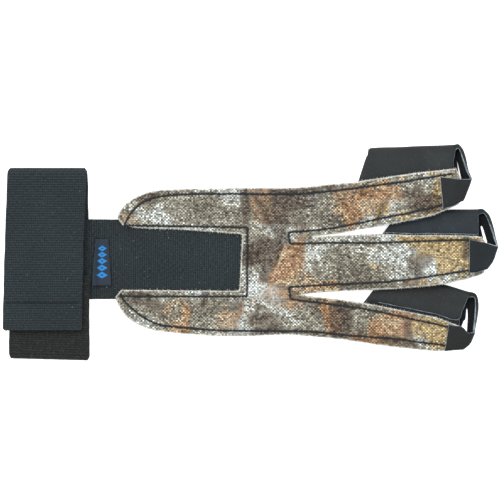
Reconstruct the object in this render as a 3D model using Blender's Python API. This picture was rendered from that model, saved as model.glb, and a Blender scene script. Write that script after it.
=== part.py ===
"""Three-finger shooting glove lying flat with the back of the hand up, fingers towards +X.

A closed loop of ribbed elastic goes round the wrist. A second elastic joins it to a canvas back panel
whose three finger strips each carry a leather stall with a tab folded over the fingertip.
"""
import math

import bmesh
import bpy
from mathutils import Vector, geometry

# Driving sizes, in metres.
WEBBING_WIDTH = 0.0380
WEBBING_THICKNESS = 0.0016
LEATHER_THICKNESS = 0.0012
CANVAS_THICKNESS = 0.0012
LABEL_THICKNESS = 0.0008
PATCH_THICKNESS = 0.0010
CLEARANCE = 0.0003

LOOP_FLAT_LENGTH = 0.0916      # wrist loop, from the top fold to the bottom fold
LOOP_HEIGHT = 0.0102           # to the top of the front layer
LOOP_TOP = 0.0402              # Y of the top fold
LOOP_CENTRE_X = -0.0986        # middle of the free end
LOOP_LEAN = 0.0175             # sideways drift for each metre along the band
FREE_END_SHARE = 0.84          # how far down the flat length the free end comes
INNER_END_SHARE = 0.44         # how far up the flat length the hidden end comes
INNER_END_HEIGHT = 0.0062
PATCH_LENGTH = 0.0135

PALM_LENGTH = 0.0880
HAND_WIDTH = 0.0704
PALM_BACK_X = -0.0641
PALM_MIDDLE_Y = -0.0044
PALM_RISE = 0.0019             # underside of the canvas over the elastic
STRAP_MIDDLE_Y = -0.0026
STRAP_END_X = -0.0022
STRAP_START_X = -0.0953
STRAP_STEP_X = -0.0757
STRAP_STEP_LENGTH = 0.0040

STALL_HEIGHT = 0.0100          # unit of the heights in the finger tables
SEAM_MARGIN = 0.0025           # from a canvas edge to the row of stitches
LEATHER_SHOWS = 0.0010         # leather seen beyond the canvas edge
TURN_RADIUS = 0.0008
FOLD_DEPTH = 0.0022

GRID = 0.0045                  # spacing of the canvas mesh
TUBE_ROWS = 10
TAB_STEPS = 2

# Outline of the palm part, from the wrist side: (along share of PALM_LENGTH, across share of HAND_WIDTH).
UPPER_EDGE = [(0.010, 0.297), (0.021, 0.334), (0.045, 0.378), (0.083, 0.415), (0.137, 0.452),
              (0.212, 0.479), (0.347, 0.491), (0.536, 0.495), (0.725, 0.499), (0.887, 0.499)]
LOWER_EDGE = [(0.001, -0.235), (0.014, -0.283), (0.045, -0.347), (0.083, -0.391), (0.142, -0.432),
              (0.228, -0.464), (0.374, -0.483), (0.536, -0.497), (0.725, -0.499), (0.860, -0.491)]
WINDOW_EDGE = [(0.037, 0.250), (0.200, 0.235), (0.347, 0.221), (0.520, 0.204), (0.678, 0.190),
               (0.684, 0.180), (0.677, 0.000), (0.669, -0.186), (0.660, -0.196), (0.520, -0.195),
               (0.347, -0.193), (0.200, -0.191), (0.030, -0.189)]

# Fingers. "root" and "angle" place the finger. Table columns:
# strip: along, high edge, low edge, rise of the high edge, rise of the low edge
# end:   along, across
# stall: along, fold, foot of the far wall, rise of the fold
# tab:   near along, near across, near rise, far along, far across, far rise, bulge
# Lengths along are shares of "length", across shares of "width", rises shares of STALL_HEIGHT,
# and in tab shares of the height at which the tab lies on the strip.
FINGERS = {
    "index": {
        "root": (0.0235, 0.0198), "angle": 10.0, "length": 0.0830, "width": 0.0220,
        "mouth": 0.353, "mouth_slant": 0.090, "rim": 0.907, "rim_slant": 0.028,
        "strip": [
            (0.053, 0.486, -0.586, 0.19, 0.19),
            (0.181, 0.459, -0.618, 0.34, 0.32),
            (0.325, 0.409, -0.614, 0.64, 0.59),
            (0.458, 0.391, -0.618, 0.80, 0.73),
            (0.602, 0.377, -0.605, 0.84, 0.77),
            (0.723, 0.359, -0.591, 0.86, 0.78),
            (0.819, 0.332, -0.523, 0.86, 0.78),
            (0.892, 0.318, -0.450, 0.86, 0.78),
        ],
        "end": [(0.916, 0.309), (0.930, 0.136), (0.930, -0.159), (0.911, -0.327), (0.901, -0.400)],
        "stall": [
            (0.325, 1.118, -0.182, 0.42),
            (0.458, 1.050, -0.191, 0.42),
            (0.614, 0.968, -0.227, 0.42),
            (0.771, 0.882, -0.273, 0.43),
            (0.940, 0.791, -0.250, 0.44),
        ],
        "tab": [
            (0.952, 0.745, 0.470, 0.933, 0.482, 0.070, 0.85),
            (0.959, 0.618, 0.500, 0.936, 0.345, 0.100, 0.65),
            (0.967, 0.418, 0.570, 0.939, 0.155, 0.200, 0.45),
            (0.978, 0.227, 0.670, 0.939, -0.064, 0.400, 0.30),
            (0.988, 0.114, 0.800, 0.934, -0.250, 0.660, 0.16),
            (0.990, 0.059, 0.915, 0.924, -0.373, 0.880, 0.05),
            (0.975, 0.045, 1.000, 0.906, -0.405, 1.000, 0.00),
            (0.922, 0.091, 1.000, 0.873, -0.445, 1.000, 0.00),
            (0.827, 0.205, 1.000, 0.813, -0.495, 1.000, 0.00),
        ],
    },
    "middle": {
        "root": (0.0235, -0.0054), "angle": 3.0, "length": 0.0944, "width": 0.0260,
        "mouth": 0.413, "mouth_slant": 0.074, "rim": 0.900, "rim_slant": 0.021,
        "strip": [
            (0.074, 0.477, -0.535, 0.19, 0.19),
            (0.212, 0.477, -0.531, 0.44, 0.38),
            (0.328, 0.477, -0.535, 0.69, 0.62),
            (0.424, 0.462, -0.535, 0.78, 0.72),
            (0.551, 0.419, -0.527, 0.80, 0.76),
            (0.699, 0.392, -0.500, 0.80, 0.76),
            (0.826, 0.358, -0.431, 0.80, 0.76),
            (0.890, 0.338, -0.377, 0.80, 0.76),
        ],
        "end": [(0.915, 0.315), (0.932, 0.215), (0.932, 0.000), (0.921, -0.185), (0.919, -0.331)],
        "stall": [
            (0.392, 0.815, -0.200, 0.41),
            (0.487, 0.831, -0.215, 0.41),
            (0.614, 0.838, -0.231, 0.42),
            (0.763, 0.827, -0.246, 0.43),
            (0.932, 0.792, -0.192, 0.44),
        ],
        "tab": [
            (0.935, 0.754, 0.470, 0.924, 0.515, 0.070, 0.85),
            (0.949, 0.638, 0.500, 0.934, 0.385, 0.100, 0.65),
            (0.967, 0.446, 0.570, 0.945, 0.208, 0.200, 0.45),
            (0.981, 0.285, 0.670, 0.947, 0.031, 0.400, 0.30),
            (0.989, 0.188, 0.800, 0.943, -0.131, 0.660, 0.16),
            (0.992, 0.142, 0.915, 0.935, -0.246, 0.880, 0.05),
            (0.980, 0.131, 1.000, 0.922, -0.285, 1.000, 0.00),
            (0.934, 0.185, 1.000, 0.894, -0.300, 1.000, 0.00),
            (0.854, 0.262, 1.000, 0.845, -0.319, 1.000, 0.00),
        ],
    },
    "ring": {
        "root": (0.0235, -0.0301), "angle": -9.0, "length": 0.0834, "width": 0.0183,
        "mouth": 0.342, "mouth_slant": 0.066, "rim": 0.902, "rim_slant": 0.024,
        "strip": [
            (-0.024, 0.541, -0.503, 0.19, 0.19),
            (0.120, 0.568, -0.459, 0.32, 0.24),
            (0.240, 0.590, -0.426, 0.54, 0.42),
            (0.360, 0.590, -0.415, 0.72, 0.60),
            (0.504, 0.568, -0.410, 0.77, 0.68),
            (0.647, 0.541, -0.383, 0.78, 0.70),
            (0.767, 0.514, -0.344, 0.78, 0.70),
            (0.851, 0.443, -0.295, 0.78, 0.70),
        ],
        "end": [(0.902, 0.393), (0.923, 0.273), (0.926, 0.082), (0.910, -0.131), (0.898, -0.230)],
        "stall": [
            (0.312, 1.169, -0.175, 0.41),
            (0.420, 1.246, -0.170, 0.41),
            (0.540, 1.339, -0.165, 0.41),
            (0.659, 1.377, -0.155, 0.42),
            (0.779, 1.355, -0.135, 0.43),
            (0.947, 1.251, -0.090, 0.44),
        ],
        "tab": [
            (0.959, 1.180, 0.470, 0.934, 0.852, 0.070, 0.85),
            (0.970, 1.027, 0.500, 0.942, 0.678, 0.100, 0.65),
            (0.978, 0.765, 0.570, 0.947, 0.459, 0.200, 0.45),
            (0.983, 0.503, 0.670, 0.950, 0.219, 0.400, 0.30),
            (0.987, 0.350, 0.800, 0.945, -0.011, 0.660, 0.16),
            (0.988, 0.284, 0.915, 0.938, -0.164, 0.880, 0.05),
            (0.973, 0.251, 1.000, 0.921, -0.213, 1.000, 0.00),
            (0.923, 0.295, 1.000, 0.892, -0.251, 1.000, 0.00),
            (0.847, 0.328, 1.000, 0.849, -0.306, 1.000, 0.00),
        ],
    },
}
STRIP_COLUMNS = ("along", "high", "low", "rise_high", "rise_low")
STALL_COLUMNS = ("along", "fold", "foot", "rise")

# Colour, roughness of each material.
MATERIALS = {
    "elastic": ((0.030, 0.036, 0.042), 0.85),
    "elastic_back": ((0.034, 0.040, 0.045), 0.85),
    "hook_tape": ((0.020, 0.020, 0.020), 0.75),
    "label_cloth": ((0.032, 0.045, 0.070), 0.70),
    "canvas": ((0.330, 0.270, 0.200), 0.90),
    "index_leather": ((0.036, 0.040, 0.044), 0.55),
    "middle_leather": ((0.036, 0.040, 0.044), 0.55),
    "ring_leather": ((0.036, 0.040, 0.044), 0.55),
}


def clear_scene():
    for thing in list(bpy.data.objects):
        bpy.data.objects.remove(thing, do_unlink=True)


def material(name):
    colour, roughness = MATERIALS[name]
    made = bpy.data.materials.new(name)
    made.use_nodes = True
    shader = made.node_tree.nodes["Principled BSDF"]
    shader.inputs["Base Color"].default_value = (*colour, 1.0)
    shader.inputs["Roughness"].default_value = roughness
    shader.inputs["Metallic"].default_value = 0.0
    made.diffuse_color = (*colour, 1.0)
    return made


def add_shell(name, points, faces, thickness, material_name):
    """A sheet of the given thickness on both sides of a surface, as one closed object."""
    mesh = bpy.data.meshes.new(name)
    mesh.from_pydata([tuple(p) for p in points], [], faces)
    mesh.materials.append(material(material_name))
    body = bmesh.new()
    body.from_mesh(mesh)
    bmesh.ops.recalc_face_normals(body, faces=body.faces)
    body.to_mesh(mesh)
    body.free()
    thing = bpy.data.objects.new(name, mesh)
    bpy.context.scene.collection.objects.link(thing)
    solidify = thing.modifiers.new("thickness", "SOLIDIFY")
    solidify.thickness = thickness
    solidify.offset = 0.0
    solidify.use_even_offset = True
    solidify.use_quality_normals = True
    return thing


def smooth(share):
    share = min(1.0, max(0.0, share))
    return share * share * (3.0 - 2.0 * share)


def spline(p0, p1, p2, p3, t):
    """Catmull-Rom between p1 and p2, for numbers or vectors."""
    return 0.5 * ((2.0 * p1) + (p2 - p0) * t + (2.0 * p0 - 5.0 * p1 + 4.0 * p2 - p3) * t * t
                  + (3.0 * p1 - p0 - 3.0 * p2 + p3) * t * t * t)


def read_row(rows, columns, along):
    """The named columns of a table at any place along the finger."""
    last = len(rows) - 1
    i = 0
    while i < last - 1 and rows[i + 1][0] < along:
        i += 1
    t = (along - rows[i][0]) / (rows[i + 1][0] - rows[i][0])
    t = min(1.0, max(0.0, t))
    before = rows[max(i - 1, 0)]
    after = rows[min(i + 2, last)]
    return {name: spline(before[k], rows[i][k], rows[i + 1][k], after[k], t)
            for k, name in enumerate(columns)}


def to_world(finger, along, across, height=0.0):
    angle = math.radians(finger["angle"])
    x = finger["root"][0] + along * math.cos(angle) - across * math.sin(angle)
    y = finger["root"][1] + along * math.sin(angle) + across * math.cos(angle)
    return Vector((x, y, height))


def to_finger(finger, x, y):
    angle = math.radians(finger["angle"])
    dx = x - finger["root"][0]
    dy = y - finger["root"][1]
    return dx * math.cos(angle) + dy * math.sin(angle), -dx * math.sin(angle) + dy * math.cos(angle)


def canvas_under(finger, along, across):
    """Height of the canvas's underside on a finger strip."""
    row = read_row(finger["strip"], STRIP_COLUMNS, along / finger["length"])
    low = row["low"] * finger["width"]
    high = row["high"] * finger["width"]
    share = min(1.15, max(-0.15, (across - low) / (high - low)))
    rise = (row["rise_low"] + (row["rise_high"] - row["rise_low"]) * share) * STALL_HEIGHT
    first = finger["strip"][0][0] * finger["length"]
    if along < first:
        return PALM_RISE
    return rise


# Canvas back panel

def palm_point(share):
    return Vector((PALM_BACK_X + share[0] * PALM_LENGTH, PALM_MIDDLE_Y + share[1] * HAND_WIDTH))


def strip_edge(finger, column, spacing):
    """Points of one edge of a finger strip, from the palm to the tip."""
    rows = finger["strip"]
    count = max(2, int((rows[-1][0] - rows[0][0]) * finger["length"] / spacing))
    edge = []
    for i in range(count + 1):
        along = rows[0][0] + (rows[-1][0] - rows[0][0]) * i / count
        row = read_row(rows, STRIP_COLUMNS, along)
        edge.append(to_world(finger, along * finger["length"], row[column] * finger["width"]).xy)
    return edge


def strip_end(finger):
    return [to_world(finger, a * finger["length"], b * finger["width"]).xy for a, b in finger["end"]]


def panel_outline(spacing):
    index, middle, ring = FINGERS["index"], FINGERS["middle"], FINGERS["ring"]
    outline = [palm_point(share) for share in UPPER_EDGE]
    outline += strip_edge(index, "high", spacing)[1:]
    outline += strip_end(index)
    outline += strip_edge(index, "low", spacing)[::-1]
    outline += strip_edge(middle, "high", spacing)
    outline += strip_end(middle)
    outline += strip_edge(middle, "low", spacing)[::-1]
    outline += strip_edge(ring, "high", spacing)
    outline += strip_end(ring)
    outline += strip_edge(ring, "low", spacing)[::-1]
    outline += [palm_point(share) for share in LOWER_EDGE[::-1]]
    outline += [palm_point(share) for share in WINDOW_EDGE[::-1]]
    return outline


def slot_height(upper, lower, x):
    """Y of the middle of the slot between two fingers at x."""
    def edge_y(finger, column):
        along, _ = to_finger(finger, x, finger["root"][1])
        row = read_row(finger["strip"], STRIP_COLUMNS, along / finger["length"])
        edge = to_world(finger, along, row[column] * finger["width"])
        tilt = math.tan(math.radians(finger["angle"]))
        return edge.y + (x - edge.x) * tilt
    return 0.5 * (edge_y(upper, "low") + edge_y(lower, "high"))


def finger_at(x, y):
    if y > slot_height(FINGERS["index"], FINGERS["middle"], x):
        return FINGERS["index"]
    if y < slot_height(FINGERS["middle"], FINGERS["ring"], x):
        return FINGERS["ring"]
    return FINGERS["middle"]


def canvas_height(x, y):
    """Height of the canvas's middle surface."""
    finger = finger_at(x, y)
    along, across = to_finger(finger, x, y)
    return canvas_under(finger, along, across) + CANVAS_THICKNESS / 2


def inside(point, outline):
    found = False
    for i, a in enumerate(outline):
        b = outline[i - 1]
        if (a.y > point.y) != (b.y > point.y):
            if point.x < (b.x - a.x) * (point.y - a.y) / (b.y - a.y) + a.x:
                found = not found
    return found


def edge_distance(point, outline):
    nearest = 1.0
    for i, a in enumerate(outline):
        b = outline[i - 1]
        side = b - a
        t = min(1.0, max(0.0, (point - a).dot(side) / max(side.length_squared, 1e-12)))
        nearest = min(nearest, (point - a - side * t).length)
    return nearest


def build_panel():
    outline = panel_outline(GRID)
    points = list(outline)
    left = min(p.x for p in outline)
    bottom = min(p.y for p in outline)
    columns = int((max(p.x for p in outline) - left) / GRID) + 1
    rows = int((max(p.y for p in outline) - bottom) / (GRID * 0.866)) + 1
    for j in range(rows):
        for i in range(columns):
            point = Vector((left + (i + 0.5 * (j % 2)) * GRID, bottom + (j + 0.5) * GRID * 0.866))
            if inside(point, outline) and edge_distance(point, outline) > GRID * 0.45:
                points.append(point)
    count = len(outline)
    edges = [(i, (i + 1) % count) for i in range(count)]
    places, _, faces, _, _, _ = geometry.delaunay_2d_cdt(points, edges, [list(range(count))], 1, 1e-7)
    solid_points = [(p.x, p.y, canvas_height(p.x, p.y)) for p in places]
    return add_shell("back_panel", solid_points, faces, CANVAS_THICKNESS, "canvas")


# Leather stalls

def arc(centre, half_width, half_height, start, stop, steps, mark):
    made = []
    for i in range(steps + 1):
        angle = math.radians(start + (stop - start) * i / steps)
        made.append((centre[0] + half_width * math.cos(angle), centre[1] + half_height * math.sin(angle), mark))
    return made


def line(start, stop, steps, mark, belly=0.0):
    made = []
    for i in range(1, steps):
        t = i / steps
        made.append((start[0] + (stop[0] - start[0]) * t,
                     start[1] + (stop[1] - start[1]) * t + belly * 4.0 * t * (1.0 - t), mark))
    return made


def bend(before, corner, after, steps, mark):
    made = []
    for i in range(steps + 1):
        t = i / steps
        made.append(tuple((1 - t) ** 2 * before[k] + 2 * t * (1 - t) * corner[k] + t * t * after[k]
                          for k in (0, 1)) + (mark,))
    return made


def towards(start, stop, distance):
    length = math.hypot(stop[0] - start[0], stop[1] - start[1])
    return (start[0] + (stop[0] - start[0]) * distance / length,
            start[1] + (stop[1] - start[1]) * distance / length)


# Where the mouth and the rim lie at each part of the section, as shares of their slants.
MOUTH_SHARES = {"seam": 0.0, "wall": 0.68, "fold": 1.0, "floor": 1.05, "foot": 0.8, "far": 0.3, "low": 0.1}
RIM_SHARES = {"seam": 0.0, "wall": 0.1, "fold": 1.0, "floor": 0.4, "foot": -0.3, "far": -0.5, "low": -0.6}


def section(finger, along):
    """Middle line of the leather round the finger: (across, height, mark) from the high seam to the low one."""
    share = along / finger["length"]
    strip = read_row(finger["strip"], STRIP_COLUMNS, share)
    stall = read_row(finger["stall"], STALL_COLUMNS, share)
    width = finger["width"]
    high = strip["high"] * width
    low = strip["low"] * width
    fold = stall["fold"] * width
    foot = stall["foot"] * width
    half = LEATHER_THICKNESS / 2

    def flange(across):
        return canvas_under(finger, along, across) - CLEARANCE - half

    turn = (high - SEAM_MARGIN, flange(high - SEAM_MARGIN) - TURN_RADIUS)
    fold_half = (stall["rise"] * STALL_HEIGHT - half) / 2
    fold_centre = (fold - FOLD_DEPTH, half + fold_half)
    path = [(high + LEATHER_SHOWS, flange(high + LEATHER_SHOWS), "seam")]
    path += arc(turn, TURN_RADIUS, TURN_RADIUS, 90.0, 270.0, 4, "seam")
    wall_start = path[-1]
    fold_arc = arc(fold_centre, FOLD_DEPTH, fold_half, 90.0, -90.0, 6, "fold")
    path += line(wall_start, fold_arc[0], 4, "wall", 0.0004)
    path += fold_arc
    far_top = (low + SEAM_MARGIN, flange(low + SEAM_MARGIN))
    foot_place = (foot, half)
    foot_bend = bend(towards(foot_place, fold_arc[-1], 0.002), foot_place,
                     towards(foot_place, far_top, 0.002), 2, "foot")
    path += line(fold_arc[-1], foot_bend[0], 4, "floor")
    path += foot_bend
    low_edge = (low + 0.0003, flange(low + 0.0003))
    top_bend = bend(towards(far_top, foot_place, 0.0014), far_top, towards(far_top, low_edge, 0.0012), 2, "far")
    path += top_bend
    path.append((low_edge[0], low_edge[1], "low"))
    return path


def spread(path, shares):
    """A share for each point of the section, joined between the middles of its marked parts."""
    marks = [p[2] for p in path]
    anchors = []
    for mark in dict.fromkeys(marks):
        places = [i for i, m in enumerate(marks) if m == mark]
        if mark in ("seam", "fold", "far", "low"):
            anchors += [(places[0], shares[mark]), (places[-1], shares[mark])]
        else:
            anchors.append((0.5 * (places[0] + places[-1]), shares[mark]))
    values = []
    for i in range(len(path)):
        for (a, va), (b, vb) in zip(anchors, anchors[1:]):
            if a <= i <= b:
                values.append(va if a == b else va + (vb - va) * (i - a) / (b - a))
                break
    return values


def build_stall(name):
    finger = FINGERS[name]
    length = finger["length"]
    width = finger["width"]
    pattern = section(finger, finger["mouth"] * length)
    marks = [p[2] for p in pattern]
    mouth_shares = spread(pattern, MOUTH_SHARES)
    rim_shares = spread(pattern, RIM_SHARES)
    near = marks.index("fold")
    far = marks.index("floor")
    points = []
    for i in range(TUBE_ROWS + 1):
        t = i / TUBE_ROWS
        for j in range(len(pattern)):
            start = (finger["mouth"] + mouth_shares[j] * finger["mouth_slant"]) * length
            stop = (finger["rim"] + rim_shares[j] * finger["rim_slant"]) * length
            along = start + (stop - start) * t
            across, height, _ = section(finger, along)[j]
            points.append(Vector((along, across, height)))
    columns = len(pattern)
    faces = []
    for i in range(TUBE_ROWS):
        for j in range(columns - 1):
            a = i * columns + j
            faces.append((a, a + 1, a + columns + 1, a + columns))

    rim = points[TUBE_ROWS * columns + near:TUBE_ROWS * columns + far + 1]
    steps = [0.0]
    for a, b in zip(rim, rim[1:]):
        steps.append(steps[-1] + (b - a).length)
    shares = [s / steps[-1] for s in steps]
    bow = [p - rim[0].lerp(rim[-1], t) for p, t in zip(rim, shares)]
    lies_at = CANVAS_THICKNESS + CLEARANCE + LEATHER_THICKNESS / 2
    keys = [(rim[0], rim[-1], 1.0)]
    for row in finger["tab"]:
        near_place = Vector((row[0] * length, row[1] * width, 0.0))
        far_place = Vector((row[3] * length, row[4] * width, 0.0))
        near_place.z = row[2] * (canvas_under(finger, min(near_place.x, finger["end"][0][0] * length),
                                              near_place.y) + lies_at)
        far_place.z = row[5] * (canvas_under(finger, min(far_place.x, finger["end"][0][0] * length),
                                             far_place.y) + lies_at)
        far_place.z = max(far_place.z, LEATHER_THICKNESS / 2)
        keys.append((near_place, far_place, row[6]))
    crease = 5
    last = list(range(TUBE_ROWS * columns + near, TUBE_ROWS * columns + far + 1))
    for k in range(len(keys) - 1):
        k0, k1, k2, k3 = (keys[max(k - 1, 0)], keys[k], keys[k + 1], keys[min(k + 2, len(keys) - 1)])
        for step in range(1, TAB_STEPS + 1):
            t = step / TAB_STEPS
            near_place = spline(k0[0], k1[0], k2[0], k3[0], t)
            far_place = spline(k0[1], k1[1], k2[1], k3[1], t)
            bulge = k1[2] + (k2[2] - k1[2]) * t
            turned = math.radians(90.0) * smooth((k + t) / (crease - 1.5))
            row = []
            for share, out in zip(shares, bow):
                place = near_place.lerp(far_place, share)
                place += bulge * Vector((out.y * math.sin(turned) + out.x, out.y * math.cos(turned), out.z))
                place.z = max(place.z, LEATHER_THICKNESS / 2)
                row.append(len(points))
                points.append(place)
            for j in range(len(row) - 1):
                faces.append((last[j], last[j + 1], row[j + 1], row[j]))
            last = row
    placed = [to_world(finger, p.x, p.y, p.z) for p in points]
    return add_shell(name + "_stall", placed, faces, LEATHER_THICKNESS, name + "_leather")


# Wrist strap

def loop_path():
    """Middle line of the wrist band as (Y, height), from the free end on top to the hidden end."""
    half = WEBBING_THICKNESS / 2
    top = LOOP_HEIGHT - half
    bottom_y = LOOP_TOP - LOOP_FLAT_LENGTH
    big = (top - half) / 2
    small = (INNER_END_HEIGHT - half) / 2
    free_y = LOOP_TOP - FREE_END_SHARE * LOOP_FLAT_LENGTH
    inner_y = bottom_y + INNER_END_SHARE * LOOP_FLAT_LENGTH
    top_centre = LOOP_TOP - half - big
    bottom_centre = bottom_y + half + small
    path = []
    straight = 8
    for i in range(straight):
        path.append((free_y + (top_centre - free_y) * i / straight, top))
    for i in range(11):
        angle = math.radians(90.0 - 18.0 * i)
        path.append((top_centre + big * math.cos(angle), half + big + big * math.sin(angle)))
    for i in range(1, straight):
        path.append((top_centre + (bottom_centre - top_centre) * i / straight, half))
    for i in range(9):
        angle = math.radians(-90.0 - 22.5 * i)
        path.append((bottom_centre + small * math.cos(angle), half + small + small * math.sin(angle)))
    for i in range(1, 5):
        path.append((bottom_centre + (inner_y - bottom_centre) * i / 4, INNER_END_HEIGHT))
    return path


def build_wrist_strap():
    path = loop_path()
    points = []
    travelled = 0.0
    for i, (y, z) in enumerate(path):
        if i:
            travelled += math.hypot(y - path[i - 1][0], z - path[i - 1][1])
        centre = LOOP_CENTRE_X + LOOP_LEAN * travelled
        for side in (-0.5, 0.0, 0.5):
            points.append((centre + side * WEBBING_WIDTH, y, z))
    faces = []
    for i in range(len(path) - 1):
        for j in range(2):
            a = i * 3 + j
            faces.append((a, a + 1, a + 4, a + 3))
    return add_shell("wrist_strap", points, faces, WEBBING_THICKNESS, "elastic")


def build_hook_patch():
    free_y = LOOP_TOP - FREE_END_SHARE * LOOP_FLAT_LENGTH
    under = INNER_END_HEIGHT + WEBBING_THICKNESS / 2
    over = LOOP_HEIGHT - WEBBING_THICKNESS
    height = (under + over) / 2
    half = WEBBING_WIDTH / 2 - 0.0020
    rows = [free_y + 0.0010, free_y + PATCH_LENGTH / 2, free_y + PATCH_LENGTH]
    points = []
    for y in rows:
        for side in (-1.0, 0.0, 1.0):
            points.append((LOOP_CENTRE_X + 0.0006 + side * half, y, height))
    faces = [(i * 3 + j, i * 3 + j + 1, i * 3 + j + 4, i * 3 + j + 3) for i in range(2) for j in range(2)]
    return add_shell("hook_patch", points, faces, PATCH_THICKNESS, "hook_tape")


# Back strap and label

def strap_height(x):
    """Middle height of the back strap: on the table, then up onto the wrist band's inner face."""
    low = WEBBING_THICKNESS / 2
    high = WEBBING_THICKNESS * 1.5 + CLEARANCE * 1.2
    return low + (high - low) * smooth((STRAP_STEP_X + STRAP_STEP_LENGTH - x) / STRAP_STEP_LENGTH)


def build_back_strap():
    step_start = STRAP_STEP_X
    step_end = STRAP_STEP_X + STRAP_STEP_LENGTH
    places = [STRAP_START_X + (step_start - STRAP_START_X) * i / 3 for i in range(3)]
    places += [step_start + (step_end - step_start) * i / 8 for i in range(9)]
    places += [step_end + (STRAP_END_X - step_end) * i / 10 for i in range(1, 11)]
    points = []
    for x in places:
        for side in (-0.5, 0.0, 0.5):
            points.append((x, STRAP_MIDDLE_Y + side * WEBBING_WIDTH, strap_height(x)))
    faces = []
    for i in range(len(places) - 1):
        for j in range(2):
            a = i * 3 + j
            faces.append((a, a + 1, a + 4, a + 3))
    return add_shell("back_strap", points, faces, WEBBING_THICKNESS, "elastic_back")


# The label's edges as shares of the webbing's width: (left, right, across) from its upper to its lower end.
LABEL_ROWS = [(0.000, 0.165, 0.245), (-0.025, 0.180, -0.035), (-0.050, 0.200, -0.325)]
LABEL_X = -0.0736


def build_label():
    points = []
    lift = WEBBING_THICKNESS / 2 + CLEARANCE + LABEL_THICKNESS / 2
    for left, right, across in LABEL_ROWS:
        for i in range(9):
            x = LABEL_X + (left + (right - left) * i / 8) * WEBBING_WIDTH
            slope = (strap_height(x + 0.0001) - strap_height(x - 0.0001)) / 0.0002
            points.append((x, STRAP_MIDDLE_Y + across * WEBBING_WIDTH,
                           strap_height(x) + lift * math.sqrt(1.0 + slope * slope)))
    faces = []
    for i in range(len(LABEL_ROWS) - 1):
        for j in range(8):
            a = i * 9 + j
            faces.append((a, a + 1, a + 10, a + 9))
    return add_shell("label", points, faces, LABEL_THICKNESS, "label_cloth")


def centre_part():
    """Puts the middle of the part's box over the origin, with its lowest point at height 0."""
    graph = bpy.context.evaluated_depsgraph_get()
    low = Vector((1.0, 1.0, 1.0))
    high = Vector((-1.0, -1.0, -1.0))
    for thing in bpy.data.objects:
        shape = thing.evaluated_get(graph).to_mesh()
        for vertex in shape.vertices:
            for k in range(3):
                low[k] = min(low[k], vertex.co[k])
                high[k] = max(high[k], vertex.co[k])
    middle = (low + high) / 2
    for thing in bpy.data.objects:
        for vertex in thing.data.vertices:
            vertex.co -= Vector((middle.x, middle.y, low.z))


clear_scene()
build_wrist_strap()
build_hook_patch()
build_back_strap()
build_label()
build_panel()
for finger_name in FINGERS:
    build_stall(finger_name)
centre_part()
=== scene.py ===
"""Looks of a three-finger shooting glove lying flat with the back of the hand up, fingers towards +X."""
import math
import random

import bpy
import numpy as np
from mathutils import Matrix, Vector, geometry, kdtree, noise


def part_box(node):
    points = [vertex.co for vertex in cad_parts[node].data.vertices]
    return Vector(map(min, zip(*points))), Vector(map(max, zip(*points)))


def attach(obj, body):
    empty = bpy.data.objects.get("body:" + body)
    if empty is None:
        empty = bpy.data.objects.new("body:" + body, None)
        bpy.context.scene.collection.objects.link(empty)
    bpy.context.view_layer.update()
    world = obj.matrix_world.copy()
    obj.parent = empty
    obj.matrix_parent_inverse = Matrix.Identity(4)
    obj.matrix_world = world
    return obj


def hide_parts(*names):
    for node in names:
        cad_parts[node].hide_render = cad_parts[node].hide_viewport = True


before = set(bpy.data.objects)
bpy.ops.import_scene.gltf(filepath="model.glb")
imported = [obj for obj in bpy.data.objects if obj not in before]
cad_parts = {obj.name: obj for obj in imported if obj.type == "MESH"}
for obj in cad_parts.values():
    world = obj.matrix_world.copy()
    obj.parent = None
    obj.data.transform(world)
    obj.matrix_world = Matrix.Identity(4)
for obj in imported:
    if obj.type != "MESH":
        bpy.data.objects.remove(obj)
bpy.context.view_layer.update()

# Driving sizes, in metres.
WEBBING_WIDTH = 0.0380
WEBBING_THICKNESS = 0.0016
LEATHER_THICKNESS = 0.0012
CANVAS_THICKNESS = 0.0012
LABEL_THICKNESS = 0.0008
PATCH_THICKNESS = 0.0010
CLEARANCE = 0.0003

LOOP_FLAT_LENGTH = 0.0916      # wrist loop, from the top fold to the bottom fold
LOOP_HEIGHT = 0.0102           # to the top of the front layer
LOOP_TOP = 0.0402              # Y of the top fold
LOOP_CENTRE_X = -0.0986        # middle of the free end
LOOP_LEAN = 0.0175             # sideways drift for each metre along the band
FREE_END_SHARE = 0.84          # how far down the flat length the free end comes
INNER_END_SHARE = 0.44         # how far up the flat length the hidden end comes
INNER_END_HEIGHT = 0.0062
PATCH_LENGTH = 0.0135

PALM_LENGTH = 0.0880
HAND_WIDTH = 0.0704
PALM_BACK_X = -0.0641
PALM_MIDDLE_Y = -0.0044
PALM_RISE = 0.0019             # underside of the canvas over the elastic
STRAP_MIDDLE_Y = -0.0026
STRAP_END_X = -0.0022
STRAP_START_X = -0.0953
STRAP_STEP_X = -0.0757
STRAP_STEP_LENGTH = 0.0040

STALL_HEIGHT = 0.0100          # unit of the heights in the finger tables
SEAM_MARGIN = 0.0025           # from a canvas edge to the row of stitches
LEATHER_SHOWS = 0.0010         # leather seen beyond the canvas edge
TURN_RADIUS = 0.0008
FOLD_DEPTH = 0.0022
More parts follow.
